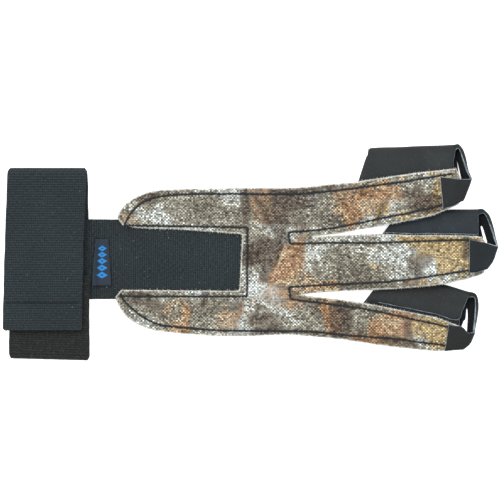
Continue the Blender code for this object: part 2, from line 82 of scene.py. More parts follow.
# Outline of the palm part, from the wrist side: (along share of PALM_LENGTH, across share of HAND_WIDTH).
UPPER_EDGE = [(0.01, 0.297), (0.021, 0.334), (0.045, 0.378), (0.083, 0.415), (0.137, 0.452), (0.212, 0.479),
    (0.347, 0.491), (0.536, 0.495), (0.725, 0.499), (0.887, 0.499)]
LOWER_EDGE = [(0.001, -0.235), (0.014, -0.283), (0.045, -0.347), (0.083, -0.391), (0.142, -0.432),
    (0.228, -0.464), (0.374, -0.483), (0.536, -0.497), (0.725, -0.499), (0.86, -0.491)]
WINDOW_EDGE = [(0.037, 0.25), (0.054, 0.2455), (0.109, 0.2325), (0.178, 0.2265), (0.27, 0.2235),
    (0.347, 0.221), (0.52, 0.204), (0.678, 0.19), (0.684, 0.18), (0.677, 0.0), (0.669, -0.186),
    (0.66, -0.196), (0.52, -0.195), (0.347, -0.193), (0.2, -0.191), (0.03, -0.189)]

# Fingers. "root" and "angle" place the finger. Table columns:
# strip: along, high edge, low edge, rise of the high edge, rise of the low edge
# end:   along, across
# stall: along, fold, foot of the far wall, rise of the fold
# tab:   near along, near across, far along, far across
# Lengths along are shares of "length", across shares of "width", rises shares of STALL_HEIGHT.
# shows: leather beside the canvas, as a share of LEATHER_SHOWS
# tab_shift: how far the tab's free edge moves toward the palm and toward the high side
# wall_start, flange_start: where the mouth's wall and flange start, as shares of mouth_slant
# rims:  where the rim lies at each of PARTS, as shares of rim_slant
# bulges: places where the tab rounds out, as middle, direction and reach in the shared frame
# shade: colour of the leather outside
FINGERS = {
    "index": {
        "root": (0.0235, 0.0198), "angle": 10.0, "length": 0.083, "width": 0.022,
        "mouth": 0.353, "mouth_slant": 0.09, "rim": 0.907, "rim_slant": 0.028,
        "strip": [(0.053, 0.486, -0.586, 0.19, 0.19), (0.181, 0.459, -0.618, 0.34, 0.32),
            (0.325, 0.409, -0.614, 0.64, 0.59), (0.458, 0.391, -0.618, 0.8, 0.73),
            (0.602, 0.377, -0.605, 0.84, 0.77), (0.723, 0.359, -0.591, 0.86, 0.78),
            (0.819, 0.332, -0.523, 0.86, 0.78), (0.892, 0.318, -0.45, 0.86, 0.78)],
        "end": [(0.916, 0.309), (0.93, 0.136), (0.93, -0.159), (0.911, -0.327), (0.901, -0.4)],
        "stall": [(0.325, 1.118, -0.182, 0.42), (0.458, 1.05, -0.191, 0.42), (0.614, 0.968, -0.227, 0.42),
            (0.771, 0.882, -0.273, 0.43), (0.94, 0.791, -0.25, 0.44)],
        "tab": [(0.952, 0.745, 0.933, 0.482), (0.959, 0.618, 0.936, 0.345), (0.967, 0.418, 0.939, 0.155),
            (0.978, 0.227, 0.939, -0.064), (0.988, 0.114, 0.934, -0.25), (0.99, 0.059, 0.924, -0.373),
            (0.975, 0.045, 0.906, -0.405), (0.922, 0.091, 0.873, -0.445), (0.827, 0.205, 0.813, -0.495)],
        "shows": 0.25, "tab_shift": (-0.011, 0.0), "wall_start": -0.08, "flange_start": 0.2,
        "shade": (44, 47, 48), "rims": (0.0, 0.1, 1.0, 0.9, 0.85, 0.3, -0.6),
        "bulges": [(0.0966, 0.0217, 0.00013, -0.0005, 0.0034), (0.0989, 0.0502, 0.0, -0.0005, 0.0014)],
    },
    "middle": {
        "root": (0.0235, -0.0054), "angle": 3.0, "length": 0.0944, "width": 0.026,
        "mouth": 0.413, "mouth_slant": 0.074, "rim": 0.9, "rim_slant": 0.021,
        "strip": [(0.074, 0.477, -0.535, 0.19, 0.19), (0.212, 0.477, -0.531, 0.44, 0.38),
            (0.328, 0.477, -0.535, 0.69, 0.62), (0.424, 0.462, -0.535, 0.78, 0.72),
            (0.551, 0.419, -0.527, 0.8, 0.76), (0.699, 0.392, -0.5, 0.8, 0.76),
            (0.826, 0.358, -0.431, 0.8, 0.76), (0.89, 0.338, -0.377, 0.8, 0.76)],
        "end": [(0.915, 0.315), (0.932, 0.215), (0.932, 0.0), (0.921, -0.185), (0.919, -0.331)],
        "stall": [(0.392, 0.815, -0.2, 0.41), (0.487, 0.831, -0.215, 0.41), (0.614, 0.838, -0.231, 0.42),
            (0.763, 0.827, -0.246, 0.43), (0.932, 0.792, -0.192, 0.44)],
        "tab": [(0.935, 0.754, 0.924, 0.515), (0.949, 0.638, 0.934, 0.385), (0.967, 0.446, 0.945, 0.208),
            (0.981, 0.285, 0.947, 0.031), (0.989, 0.188, 0.943, -0.131), (0.992, 0.142, 0.935, -0.246),
            (0.98, 0.131, 0.922, -0.285), (0.934, 0.185, 0.894, -0.3), (0.854, 0.262, 0.845, -0.319)],
        "shows": 1.05, "tab_shift": (-0.003, 0.03), "wall_start": -0.19, "flange_start": 0.14,
        "shade": (42, 49, 54), "rims": (0.0, 0.1, 0.3, 1.3, 1.3, 0.3, -0.6),
        "bulges": [(0.1149, -0.0036, 0.00065, -0.00034, 0.003), (0.1128, -0.0088, 0.0, 0.0004, 0.0016),
            (0.1114, 0.0197, -0.0005, -0.0004, 0.0018), (0.1066, -0.0077, 0.0, -0.0008, 0.0021)],
    },
    "ring": {
        "root": (0.0235, -0.0301), "angle": -9.0, "length": 0.0834, "width": 0.0183,
        "mouth": 0.342, "mouth_slant": 0.066, "rim": 0.902, "rim_slant": 0.024,
        "strip": [(-0.024, 0.541, -0.503, 0.19, 0.19), (0.12, 0.568, -0.459, 0.32, 0.24),
            (0.24, 0.59, -0.426, 0.54, 0.42), (0.36, 0.59, -0.415, 0.72, 0.6),
            (0.504, 0.568, -0.41, 0.77, 0.68), (0.647, 0.541, -0.383, 0.78, 0.7),
            (0.767, 0.514, -0.344, 0.78, 0.7), (0.851, 0.443, -0.295, 0.78, 0.7)],
        "end": [(0.902, 0.393), (0.923, 0.273), (0.926, 0.082), (0.91, -0.131), (0.898, -0.23)],
        "stall": [(0.312, 1.169, -0.175, 0.41), (0.42, 1.246, -0.17, 0.41), (0.54, 1.339, -0.165, 0.41),
            (0.659, 1.377, -0.155, 0.42), (0.779, 1.355, -0.135, 0.43), (0.947, 1.251, -0.09, 0.44)],
        "tab": [(0.959, 1.18, 0.934, 0.852), (0.97, 1.027, 0.942, 0.678), (0.978, 0.765, 0.947, 0.459),
            (0.983, 0.503, 0.95, 0.219), (0.987, 0.35, 0.945, -0.011), (0.988, 0.284, 0.938, -0.164),
            (0.973, 0.251, 0.921, -0.213), (0.923, 0.295, 0.892, -0.251), (0.847, 0.328, 0.849, -0.306)],
        "shows": 1.8, "tab_shift": (-0.01, 0.075), "wall_start": -0.23, "flange_start": 0.27,
        "shade": (43, 46, 46), "rims": (0.0, 0.1, 1.0, 1.3, -1.1, -1.1, -1.0),
        "bulges": [(0.1039, -0.0432, 0.00104, -0.00078, 0.0032), (0.0999, -0.0333, -0.0002, 0.0022, 0.0016),
            (0.1033, -0.036, 0.0, -0.0017, 0.0015)],
    },
}
# Near rise, far rise and bulge of each row of a tab. The rises are shares of the height at which the tab lies
# on the strip.
TAB_RISES = [(0.47, 0.07, 0.85), (0.5, 0.1, 0.65), (0.57, 0.2, 0.45), (0.67, 0.4, 0.3), (0.8, 0.66, 0.16),
    (0.915, 0.88, 0.05), (1.0, 1.0, 0.0), (1.0, 1.0, 0.0), (1.0, 1.0, 0.0)]
STRIP_COLUMNS = ("along", "high", "low", "rise_high", "rise_low")
STALL_COLUMNS = ("along", "fold", "foot", "rise")
# The label's edges as shares of the webbing's width: (left, right, across) from its upper to its lower end.
LABEL_ROWS = [(0.000, 0.165, 0.245), (-0.025, 0.180, -0.035), (-0.050, 0.200, -0.325)]
LABEL_X = -0.0736

HALF_WEB = WEBBING_WIDTH / 2
HALF_BAND = WEBBING_THICKNESS / 2
HALF_LEATHER = LEATHER_THICKNESS / 2
# How far the solids lie from these sizes.
SHIFT = Vector(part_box("back_strap")[0]) - Vector((STRAP_START_X, STRAP_MIDDLE_Y - HALF_WEB, 0.0))

# Detail that the solids leave out.
BAND_RIM = 0.00025             # rounding of an elastic's edge
BAND_CORNER = 0.0014           # radius of the corners at the band's ends
FOLD_CORNER = 0.0023           # rounding of the loop's folds beside the band
LOOP_BOW = 0.0011              # sideways bow of the band on its way round
LOOP_BOW_AT = 0.095            # place along the band of the middle of that bow
LOOP_BOW_REACH = 0.05
LOOP_FLARE = 0.0004            # how much wider the band lies at its lower fold
LOW_REACH = 0.028              # from the lower fold, where the band flares and rises
BAND_THIN = 0.6                # thickness left at the edges of a band
SHEET_THIN = 0.82              # and at the edges of canvas and leather
THIN_RIM = 0.0002              # rounding of the label's and the hook tape's edges
LABEL_INSET = 0.0004
HEM_RISE = 0.00014
DIP_DEPTH = 0.00026            # a row of stitches pulls the canvas in
DIP_WIDTH = 0.00055
WEAR_DEPTH = 0.00012           # the canvas is thinner along its cut edge
WEAR_WIDTH = 0.0006
FALL_ALONG = 3.4               # how fast a thread of the weave falls off along and across itself
FALL_ACROSS = 1.3
WANDER = 0.00006               # how far a stitch strays from its row
UNDER_SEAM_END = 0.028         # X beyond which leather covers the seams from below
CLOSURE_LENGTH = 0.0344
CLOSURE_THREAD = 0.00024
LIP_ROUND = 0.0008             # how far the lip of a stall's mouth is rounded in
LIP_REACH = 0.0018
WALL_BELLY = 0.0004            # how far a stall's wall bellies out between its seam and its fold
FOOT_REACH = 0.002             # from the foot's corner to where its bend starts
AT_FOLD = 0.88                 # place of the mouth where its wall meets the fold, as a share of mouth_slant
CANVAS_GRID = 0.00075
EDGE_STEP = 0.0008
CANVAS_SWELL = 0.00035
CANVAS_PITCH = 0.00080
WRIST_RIB = 0.00115
BACK_RIB = 0.00105
RIB_DEPTH = 0.00016
STITCH = 0.0026
THREAD = 0.00044
DETAIL = 3                     # times as many steps round a stall as in the solids
TUBE_ROWS = 64
TAB_STEPS = 6


def clamp(value, low=0.0, high=1.0):
    return min(high, max(low, value))


def smooth(share):
    share = clamp(share)
    return share * share * (3.0 - 2.0 * share)


def spline(p0, p1, p2, p3, t):
    """Catmull-Rom between p1 and p2, for numbers or vectors."""
    return 0.5 * ((2.0 * p1) + (p2 - p0) * t + (2.0 * p0 - 5.0 * p1 + 4.0 * p2 - p3) * t * t
                  + (3.0 * p1 - p0 - 3.0 * p2 + p3) * t * t * t)


def read_row(rows, columns, along):
    """The named columns of a table at any place along the finger."""
    last = len(rows) - 1
    i = 0
    while i < last - 1 and rows[i + 1][0] < along:
        i += 1
    t = clamp((along - rows[i][0]) / (rows[i + 1][0] - rows[i][0]))
    before = rows[max(i - 1, 0)]
    after = rows[min(i + 2, last)]
    return {name: spline(before[k], rows[i][k], rows[i + 1][k], after[k], t)
            for k, name in enumerate(columns)}


def to_world(finger, along, across, height=0.0):
    angle = math.radians(finger["angle"])
    x = finger["root"][0] + along * math.cos(angle) - across * math.sin(angle)
    y = finger["root"][1] + along * math.sin(angle) + across * math.cos(angle)
    return Vector((x, y, height))


def to_finger(finger, x, y):
    angle = math.radians(finger["angle"])
    dx = x - finger["root"][0]
    dy = y - finger["root"][1]
    return dx * math.cos(angle) + dy * math.sin(angle), -dx * math.sin(angle) + dy * math.cos(angle)


def ripple(x, y, z=0.0):
    """Smooth noise from -1 to 1 at one place."""
    return noise.noise(Vector((x, y, z)))


def field(*parts):
    """Smooth noise from -1 to 1 at each place of arrays with one coordinate each."""
    parts = np.broadcast_arrays(*parts)
    values = [ripple(*place) for place in zip(*(part.ravel() for part in parts))]
    return np.array(values).reshape(parts[0].shape)


def swell(x, y):
    """How far the canvas, and what is sewn to it, stands above the even height."""
    broad = ripple(x * 45.0, y * 45.0, 3.1)
    fine = ripple(x * 150.0, y * 150.0, 8.7)
    return CANVAS_SWELL * (0.5 + 0.42 * broad + 0.12 * fine)


def strip_at(finger, along):
    return read_row(finger["strip"], STRIP_COLUMNS, along / finger["length"])


def canvas_under(finger, along, across):
    """Height of the canvas's underside on a finger strip."""
    row = strip_at(finger, along)
    low = row["low"] * finger["width"]
    high = row["high"] * finger["width"]
    share = clamp((across - low) / (high - low), -0.15, 1.15)
    rise = (row["rise_low"] + (row["rise_high"] - row["rise_low"]) * share) * STALL_HEIGHT
    if along < finger["strip"][0][0] * finger["length"]:
        rise = PALM_RISE
    place = to_world(finger, along, across)
    return rise + swell(place.x, place.y)


def palm_point(share):
    return Vector((PALM_BACK_X + share[0] * PALM_LENGTH, PALM_MIDDLE_Y + share[1] * HAND_WIDTH))


def finger_point(finger, share):
    return to_world(finger, share[0] * finger["length"], share[1] * finger["width"]).xy


def strip_edge(finger, column):
    """Points of one edge of a finger strip, from the palm to the tip."""
    rows = finger["strip"]
    span = rows[-1][0] - rows[0][0]
    count = max(2, int(span * finger["length"] / EDGE_STEP))
    alongs = [rows[0][0] + span * i / count for i in range(count + 1)]
    return [finger_point(finger, (along, read_row(rows, STRIP_COLUMNS, along)[column])) for along in alongs]


def slot_height(upper, lower, x):
    """Y of the middle of the slot between two fingers at x."""
    def edge_y(finger, column):
        along, _ = to_finger(finger, x, finger["root"][1])
        edge = to_world(finger, along, strip_at(finger, along)[column] * finger["width"])
        tilt = math.tan(math.radians(finger["angle"]))
        return edge.y + (x - edge.x) * tilt
    return 0.5 * (edge_y(upper, "low") + edge_y(lower, "high"))


def finger_at(x, y):
    if y > slot_height(FINGERS["index"], FINGERS["middle"], x):
        return FINGERS["index"]
    if y < slot_height(FINGERS["middle"], FINGERS["ring"], x):
        return FINGERS["ring"]
    return FINGERS["middle"]


def canvas_height(x, y):
    """Height of the canvas's middle surface."""
    finger = finger_at(x, y)
    along, across = to_finger(finger, x, y)
    return canvas_under(finger, along, across) + CANVAS_THICKNESS / 2


# Curves and meshes


def curve_through(points, spacing):
    """Evenly spaced points on a smooth curve through the given ones."""
    ends = [points[0], *points, points[-1]]
    dense = [spline(*ends[i:i + 4], step / 12.0) for i in range(len(points) - 1) for step in range(12)]
    return even(dense + [points[-1]], spacing)


def even(points, spacing):
    """The same polyline with evenly spaced points."""
    path = np.array([tuple(p) for p in points])
    steps = np.concatenate([[0.0], np.cumsum(np.linalg.norm(np.diff(path, axis=0), axis=1))])
    count = max(1, round(steps[-1] / spacing))
    wanted = np.linspace(0.0, steps[-1], count + 1)
    columns = [np.interp(wanted, steps, path[:, k]) for k in range(path.shape[1])]
    return [Vector(p) for p in np.stack(columns, axis=1)]


def make_piece(name, points, faces, finishes, face_finish=None, uv=None, values=None):
    """A shown mesh object; uv and values hold one entry for each point."""
    mesh = bpy.data.meshes.new(name)
    mesh.from_pydata([tuple(p) for p in points], [], faces)
    for finish in finishes:
        mesh.materials.append(finish)
    if face_finish is not None:
        mesh.polygons.foreach_set("material_index", face_finish)
    corners = np.zeros(len(mesh.loops), dtype=int)
    mesh.loops.foreach_get("vertex_index", corners)
    if uv is not None:
        layer = mesh.uv_layers.new(name="cloth")
        layer.data.foreach_set("uv", np.asarray(uv, dtype=float)[corners].ravel())
    for key, numbers in (values or {}).items():
        made = mesh.attributes.new(key, "FLOAT", "POINT")
        made.data.foreach_set("value", np.asarray(numbers, dtype=float))
    mesh.polygons.foreach_set("use_smooth", [True] * len(mesh.polygons))
    mesh.update()
    thing = bpy.data.objects.new(name, mesh)
    bpy.context.scene.collection.objects.link(thing)
    return thing


def thick_grid(name, grid, uv, half, lift_top, lift_under, rim, finishes, pile_rows=math.inf):
    """A closed sheet round a grid of middle points, with a rounded rim and a pile after pile_rows."""
    rows, columns, _ = grid.shape
    down, over = [way / np.linalg.norm(way, axis=2, keepdims=True) for way in np.gradient(grid, axis=(0, 1))]
    normal = np.cross(over, down)
    normal /= np.linalg.norm(normal, axis=2, keepdims=True)
    body = np.full((rows, columns), half)
    for edge in (body[0], body[-1], body[:, 0], body[:, -1]):
        edge *= BAND_THIN
    top = grid + normal * (body + lift_top)[:, :, None]
    under = grid - normal * (body + lift_under)[:, :, None]
    border = [(0, j) for j in range(columns)] + [(i, columns - 1) for i in range(1, rows)]
    border += [(rows - 1, j) for j in range(columns - 2, -1, -1)] + [(i, 0) for i in range(rows - 2, 0, -1)]
    ring = []
    for i, j in border:
        out = ((i == rows - 1) - (i == 0)) * down[i, j] + ((j == columns - 1) - (j == 0)) * over[i, j]
        ring.append(grid[i, j] + out / np.linalg.norm(out) * rim)
    points = np.concatenate([top.reshape(-1, 3), under.reshape(-1, 3), np.array(ring)]) + np.array(SHIFT)
    size = rows * columns
    faces = []
    kinds = []
    for i in range(rows - 1):
        for j in range(columns - 1):
            a = i * columns + j
            b = a + columns
            faces += [(a, a + 1, b + 1, b), (size + a, size + b, size + b + 1, size + a + 1)]
            kinds += [int(i > pile_rows), 0]
    around = [i * columns + j for i, j in border]
    for k, a in enumerate(around):
        after = (k + 1) % len(around)
        b = around[after]
        p = 2 * size + k
        q = 2 * size + after
        faces += [(b, a, p, q), (q, p, size + a, size + b)]
        kinds += [0, 0]
    uv = uv.reshape(-1, 2)
    return make_piece(name, points, faces, finishes, kinds, np.concatenate([uv, uv, uv[around]]))


def close_sheet(middle, faces, half, inset, outset, lift_top=0.0):
    """A closed sheet round a surface: points, faces, kinds of face (0 top, 1 under, 2 rim) and rim points."""
    middle = np.array([tuple(p) for p in middle])
    size = len(middle)
    triangles = np.array([(f[0], f[i], f[i + 1]) for f in faces for i in range(1, len(f) - 1)])
    a, b, c = (middle[triangles[:, k]] for k in range(3))
    turned = np.cross(b - a, c - a)
    normal = np.zeros((size, 3))
    for k in range(3):
        np.add.at(normal, triangles[:, k], turned)
    normal /= np.linalg.norm(normal, axis=1, keepdims=True)
    uses = {}
    for face in faces:
        for i, p in enumerate(face):
            q = face[(i + 1) % len(face)]
            uses.setdefault((min(p, q), max(p, q)), []).append((p, q))
    ways = [pairs[0] for pairs in uses.values() if len(pairs) == 1]
    out = np.zeros((size, 3))
    for p, q in ways:
        side = middle[q] - middle[p]
        for r in (p, q):
            away = np.cross(side, normal[r])
            out[r] += away / np.linalg.norm(away)
    rims = sorted({r for way in ways for r in way})
    out[rims] /= np.linalg.norm(out[rims], axis=1, keepdims=True)
    body = np.full(size, half)
    body[rims] *= SHEET_THIN
    top = middle + normal * (body + lift_top)[:, None] - out * inset
    under = middle - normal * body[:, None] - out * inset
    ring = {r: 2 * size + k for k, r in enumerate(rims)}
    points = np.concatenate([top, under, middle[rims] + out[rims] * outset])
    solid = []
    kinds = []
    for face in faces:
        solid += [face, tuple(size + p for p in reversed(face))]
        kinds += [0, 1]
    for p, q in ways:
        solid += [(q, p, ring[p], ring[q]), (ring[q], ring[p], size + p, size + q)]
        kinds += [2, 2]
    return points, solid, kinds, rims


def across_steps(count):
    """Places across a band, closer together at its edges, leaving room for the rim."""
    half = HALF_WEB - BAND_RIM
    inner = half - 0.0006
    middle = [-inner + 2 * inner * i / count for i in range(count + 1)]
    return [-half, -half + BAND_RIM, *middle, half - BAND_RIM, half]


def ribs(along, across, pitch, layer):
    """Lift of cross-ribbed elastic, less at its edges."""
    drift = field(along * 60.0, across * 90.0, layer) * pitch * 0.22
    wave = np.abs(np.sin(math.pi * (along + drift) / pitch)) ** 0.65
    edge = np.clip((HALF_WEB - np.abs(across)) / 0.0016, 0.0, 1.0)
    uneven = 0.8 + 0.35 * field(along * 500.0, across * 700.0, 0.0)
    return RIB_DEPTH * (wave - 0.5) * uneven * (0.25 + 0.75 * edge)


# Materials


def tone(red, green, blue):
    """Linear colour from the 0 to 255 numbers of a screen."""
    def linear(value):
        value /= 255.0
        return value / 12.92 if value <= 0.04045 else ((value + 0.055) / 1.055) ** 2.4
    return (linear(red), linear(green), linear(blue), 1.0)


class Value:
    """What a node gives, for plain sums and products."""

    def __init__(self, finish, socket):
        self.finish = finish
        self.socket = socket

    def math(self, operation, other=0.0):
        return self.finish.add("Math", {0: self, 1: other}, operation=operation)

    def __add__(self, other):
        return self.math("ADD", other)

    def __sub__(self, other):
        return self.math("SUBTRACT", other)

    def __rsub__(self, other):
        return self.finish.add("Math", {0: other, 1: self}, operation="SUBTRACT")

    def __mul__(self, other):
        return self.math("MULTIPLY", other)


class Finish:
    """One material, with short names for the nodes used here."""

    def __init__(self, name, roughness, specular, sheen=0.0):
        self.material = bpy.data.materials.new(name)
        self.material.use_nodes = True
        self.tree = self.material.node_tree
        self.shader = self.tree.nodes["Principled BSDF"]
        for key, value in {"Roughness": roughness, "Specular IOR Level": specular, "Sheen Weight": sheen,
                           "Sheen Roughness": 0.5}.items():
            self.shader.inputs[key].default_value = value

    def feed(self, socket, value):
        if isinstance(value, Value):
            self.tree.links.new(value.socket, socket)
        else:
            socket.default_value = value

    def add(self, kind, inputs=None, output=0, **settings):
        made = self.tree.nodes.new("ShaderNode" + kind)
        for key, value in settings.items():
            setattr(made, key, value)
        for key, value in (inputs or {}).items():
            self.feed(made.inputs[key], value)
        return Value(self, made.outputs[output])

    def place(self):
        return self.add("TexCoord", output="Object")

    def cloth(self):
        return self.add("UVMap", uv_map="cloth")

    def mark(self, name):
        return self.add("Attribute", output="Fac", attribute_name=name)

    def split(self, place):
        made = self.add("SeparateXYZ", {0: place})
        return [Value(self, socket) for socket in made.socket.node.outputs]

    def stretch(self, place, scale, turn=0.0, move=(0.0, 0.0, 0.0)):
        turned = (0.0, 0.0, math.radians(turn))
        return self.add("Mapping", {"Vector": place, "Scale": scale, "Rotation": turned, "Location": move})

    def noise(self, place, scale, detail=2.0, rough=0.5, turn=0.0, move=(0.0, 0.0, 0.0), output="Fac"):
        """Soft noise; three scales, a turn and a move stretch it."""
        if isinstance(scale, tuple):
            place = self.stretch(place, scale, turn, move)
            scale = 1.0
        inputs = {"Vector": place, "Scale": scale, "Detail": detail, "Roughness": rough}
        return self.add("TexNoise", inputs, output)

    def cells(self, place, scale, feature="F1", loose=1.0):
        """Distance from the nearest of many scattered places."""
        return self.add("TexVoronoi", {"Vector": place, "Scale": scale, "Randomness": loose}, "Distance",
                        feature=feature)

    def wave(self, value, pitch):
        """Round ridges from 0 to 1, one on every pitch."""
        return (value * (math.pi / pitch)).math("SINE").math("ABSOLUTE")

    def ramp(self, value, stops):
        made = self.add("ValToRGB", {0: value})
        rows = made.socket.node.color_ramp.elements
        while len(rows) < len(stops):
            rows.new(0.5)
        for row, (where, colour) in zip(rows, stops):
            row.position = where
            row.color = colour
        return made

    def grade(self, value, low, high, start=0.0, stop=1.0):
        """The value carried from low..high to start..stop, smoothly and held at the ends."""
        return self.add("MapRange", {"Value": value, "From Min": low, "From Max": high, "To Min": start,
                                     "To Max": stop}, interpolation_type="SMOOTHSTEP")

    def mix(self, share, a, b, blend="MIX"):
        return self.add("Mix", {0: share, 6: a, 7: b}, 2, data_type="RGBA", blend_type=blend)

    def tint(self, colour, amount):
        """The colour made lighter or darker by a number."""
        return self.mix(1.0, colour, self.add("CombineColor", {0: amount, 1: amount, 2: amount}), "MULTIPLY")

    def finish(self, colour, height, distance, strength=1.0, roughness=None):
        bump = self.add("Bump", {"Height": height, "Distance": distance, "Strength": strength})
        self.feed(self.shader.inputs["Base Color"], colour)
        self.feed(self.shader.inputs["Normal"], bump)
        if roughness is not None:
            self.feed(self.shader.inputs["Roughness"], roughness)
        return self.material


def weave(finish, place):
    """Plain weave: (height 0..1, which thread is on top 0 or 1, chance number for each crossing)."""
    u, v = [part.math("DIVIDE", CANVAS_PITCH) for part in finish.split(place)[:2]]
    cell_u, cell_v = [part.math("FLOOR") for part in (u, v)]
    in_u, in_v = [part.math("FRACT") - 0.5 for part in (u, v)]
    square_u = in_u * in_u
    square_v = in_v * in_v
    upper = (cell_u + cell_v).math("PINGPONG", 1.0)
    warp = 1.0 - square_u * FALL_ALONG - square_v * FALL_ACROSS
    weft = 1.0 - square_v * FALL_ALONG - square_u * FALL_ACROSS
    height = finish.add("Mix", {0: upper, 2: warp, 3: weft}, data_type="FLOAT")
    cell = finish.add("CombineXYZ", {0: cell_u, 1: cell_v})
    return height, upper, finish.add("TexWhiteNoise", {"Vector": cell}, "Value", noise_dimensions="3D")


def canvas_print():
    """Printed canvas: soft-edged patches of light grey, olive, tan and brown on a coarse plain weave."""
    f = Finish("canvas_print", 0.93, 0.06)
    place = f.place()
    height, upper, chance = weave(f, place)
    bent = f.noise(place, 26.0, 4.0, 0.65, output="Color")
    moved = f.add("VectorMath", {0: bent, 1: (0.026, 0.026, 0.0), 2: place}, operation="MULTIPLY_ADD")

    def patches(scale, turn, move, rough=0.5, detail=2.5):
        return f.noise(moved, (*scale, 1.0), detail, rough, turn, (*move, 0.0))

    speck = f.noise(place, (560.0, 1150.0, 560.0), 0.0, turn=34.0)
    salt = chance * 0.6 + upper * 0.35 + speck * 0.8 - 0.875
    ground = patches((30.0, 42.0), 24.0, (0.7, 3.1), 0.55)
    ground += f.grade(f.split(place)[0], -0.01, 0.05, 0.008, -0.022)
    colour = f.ramp(salt * 0.09 + ground, [
        (0.36, tone(108, 103, 92)), (0.46, tone(133, 129, 116)), (0.54, tone(152, 149, 136)),
        (0.572, tone(176, 180, 174)), (0.70, tone(202, 208, 204))])
    warm = salt * 0.06 + patches((34.0, 24.0), -32.0, (4.3, 1.2))
    earth = f.ramp(patches((70.0, 110.0), 30.0, (6.0, 2.5), detail=2.0), [
        (0.38, tone(146, 112, 82)), (0.50, tone(164, 131, 99)), (0.62, tone(176, 157, 129))])
    colour = f.mix(f.grade(warm, 0.560, 0.582, 0.0, 0.9), colour, earth)
    sand = patches((46.0, 40.0), 12.0, (2.0, 7.7)) + f.grade(f.split(moved)[0], 0.050, 0.110, -0.17, 0.06)
    colour = f.mix(f.grade(salt * 0.06 + sand, 0.515, 0.540, 0.0, 0.9), colour, tone(168, 148, 108))
    shade = salt * 0.05 + patches((20.0, 62.0), 62.0, (1.4, 5.0))
    bark = salt * 0.05 + patches((64.0, 22.0), 22.0, (9.1, 0.4))
    dark = f.grade(shade, 0.585, 0.622).math("MAXIMUM", f.grade(bark, 0.606, 0.640))
    colour = f.mix(dark * 0.80, colour, tone(88, 78, 70))
    # Painted shade in the weave's gaps and painted light on thread tops, from height; the rest is the print's
    # speckle.
    lift = (height * 0.5 + 0.70) * (chance + 0.48) * (speck * 1.6 + 0.20) * (upper * 0.50 + 0.74)
    lift = lift * (f.noise(place, (240.0, 2200.0, 1.0), 1.0) * 0.4 + 0.80)
    colour = f.tint(colour, lift.math("MAXIMUM", 0.16))
    # Painted shade in the pucker beside each row of stitches: darker within a millimetre of one.
    colour = f.tint(colour, f.grade(f.mark("sewn"), 0.0004, 0.0010, 0.55, 1.0))
    ragged = f.noise(place, 900.0) * -0.0011 + f.mark("edge")
    pale = f.ramp(chance, [(0.0, tone(140, 140, 130)), (1.0, tone(236, 238, 232))])
    colour = f.mix(f.grade(ragged, -0.00035, 0.0002, 0.85, 0.0), colour, pale)
    return f.finish(colour, height, 0.00022, 0.8)


def canvas_back(name, low, high):
    """The canvas's unprinted side and its raw edges."""
    f = Finish(name, 0.95, 0.1, 0.05)
    place = f.place()
    height, _, chance = weave(f, place)
    colour = f.ramp(f.noise(place, 1400.0, 3.0, 0.7) * 0.7 + chance * 0.35, [(0.25, low), (0.75, high)])
    # Painted shade in the weave's gaps: each thread darker towards its sides.
    return f.finish(f.tint(colour, height * 0.35 + 0.75), height, 0.0002, 0.7)


def elastic(name, pitch, base, groove, crest, speck_share):
    """Ribbed elastic: painted groove shade and crest highlight, fine ticks along the ribs, a few pale specks.
    """
    f = Finish(name, 0.88, 0.08)
    cloth = f.cloth()
    aside, along, _ = f.split(cloth)
    ticks = f.noise(cloth, (1900.0, 700.0, 1.0), 2.0, 0.6)
    tall = f.wave(along, pitch) * 0.38 + ticks * 1.1 + f.wave(aside, 0.0009) * 0.16
    # The ramp runs over the ribs: groove is painted shade in the grooves, crest a painted highlight on the
    # crests.
    colour = f.ramp(f.grade(tall, 0.30, 1.35), [(0.0, groove), (0.55, base), (1.0, crest)])
    colour = f.tint(colour, f.noise(cloth, (45.0, 30.0, 1.0), 3.0) * 0.5 + 0.75)
    specks = f.noise(cloth, (1500.0, 1500.0, 1.0), 0.0, move=(3.3, 1.9, 0.0))
    colour = f.mix(f.grade(specks, speck_share, speck_share + 0.05, 0.0, 0.8), colour, tone(150, 165, 170))
    return f.finish(colour, tall, 0.00012, 0.8)


def loop_pile():
    """Fuzzy loop side of the closure."""
    f = Finish("loop_pile", 0.95, 0.05, 0.03)
    cloth = f.cloth()
    curls = f.cells(f.stretch(cloth, (1300.0, 1300.0, 1.0)), 1.0)
    tall = f.noise(cloth, (1500.0, 1700.0, 1.0), 3.0, 0.75) * 0.9
    tall = tall + f.wave(f.split(cloth)[1], WRIST_RIB) * 0.22 + curls * 0.35
    colour = f.ramp(f.grade(tall, 0.35, 1.3), [
        (0.0, tone(28, 30, 31)), (0.5, tone(42, 44, 43)), (1.0, tone(68, 69, 63))])
    return f.finish(colour, tall, 0.0002, 0.9)


def hook_tape():
    """Rows of small stiff hooks."""
    f = Finish("hook_rows", 0.55, 0.4)
    dots = f.cells(f.stretch(f.place(), (1100.0, 1100.0, 1.0)), 1.0, loose=0.25)
    return f.finish(f.ramp(dots, [(0.1, tone(62, 64, 66)), (0.5, tone(26, 27, 28))]), 1.0 - dots, 0.0003)


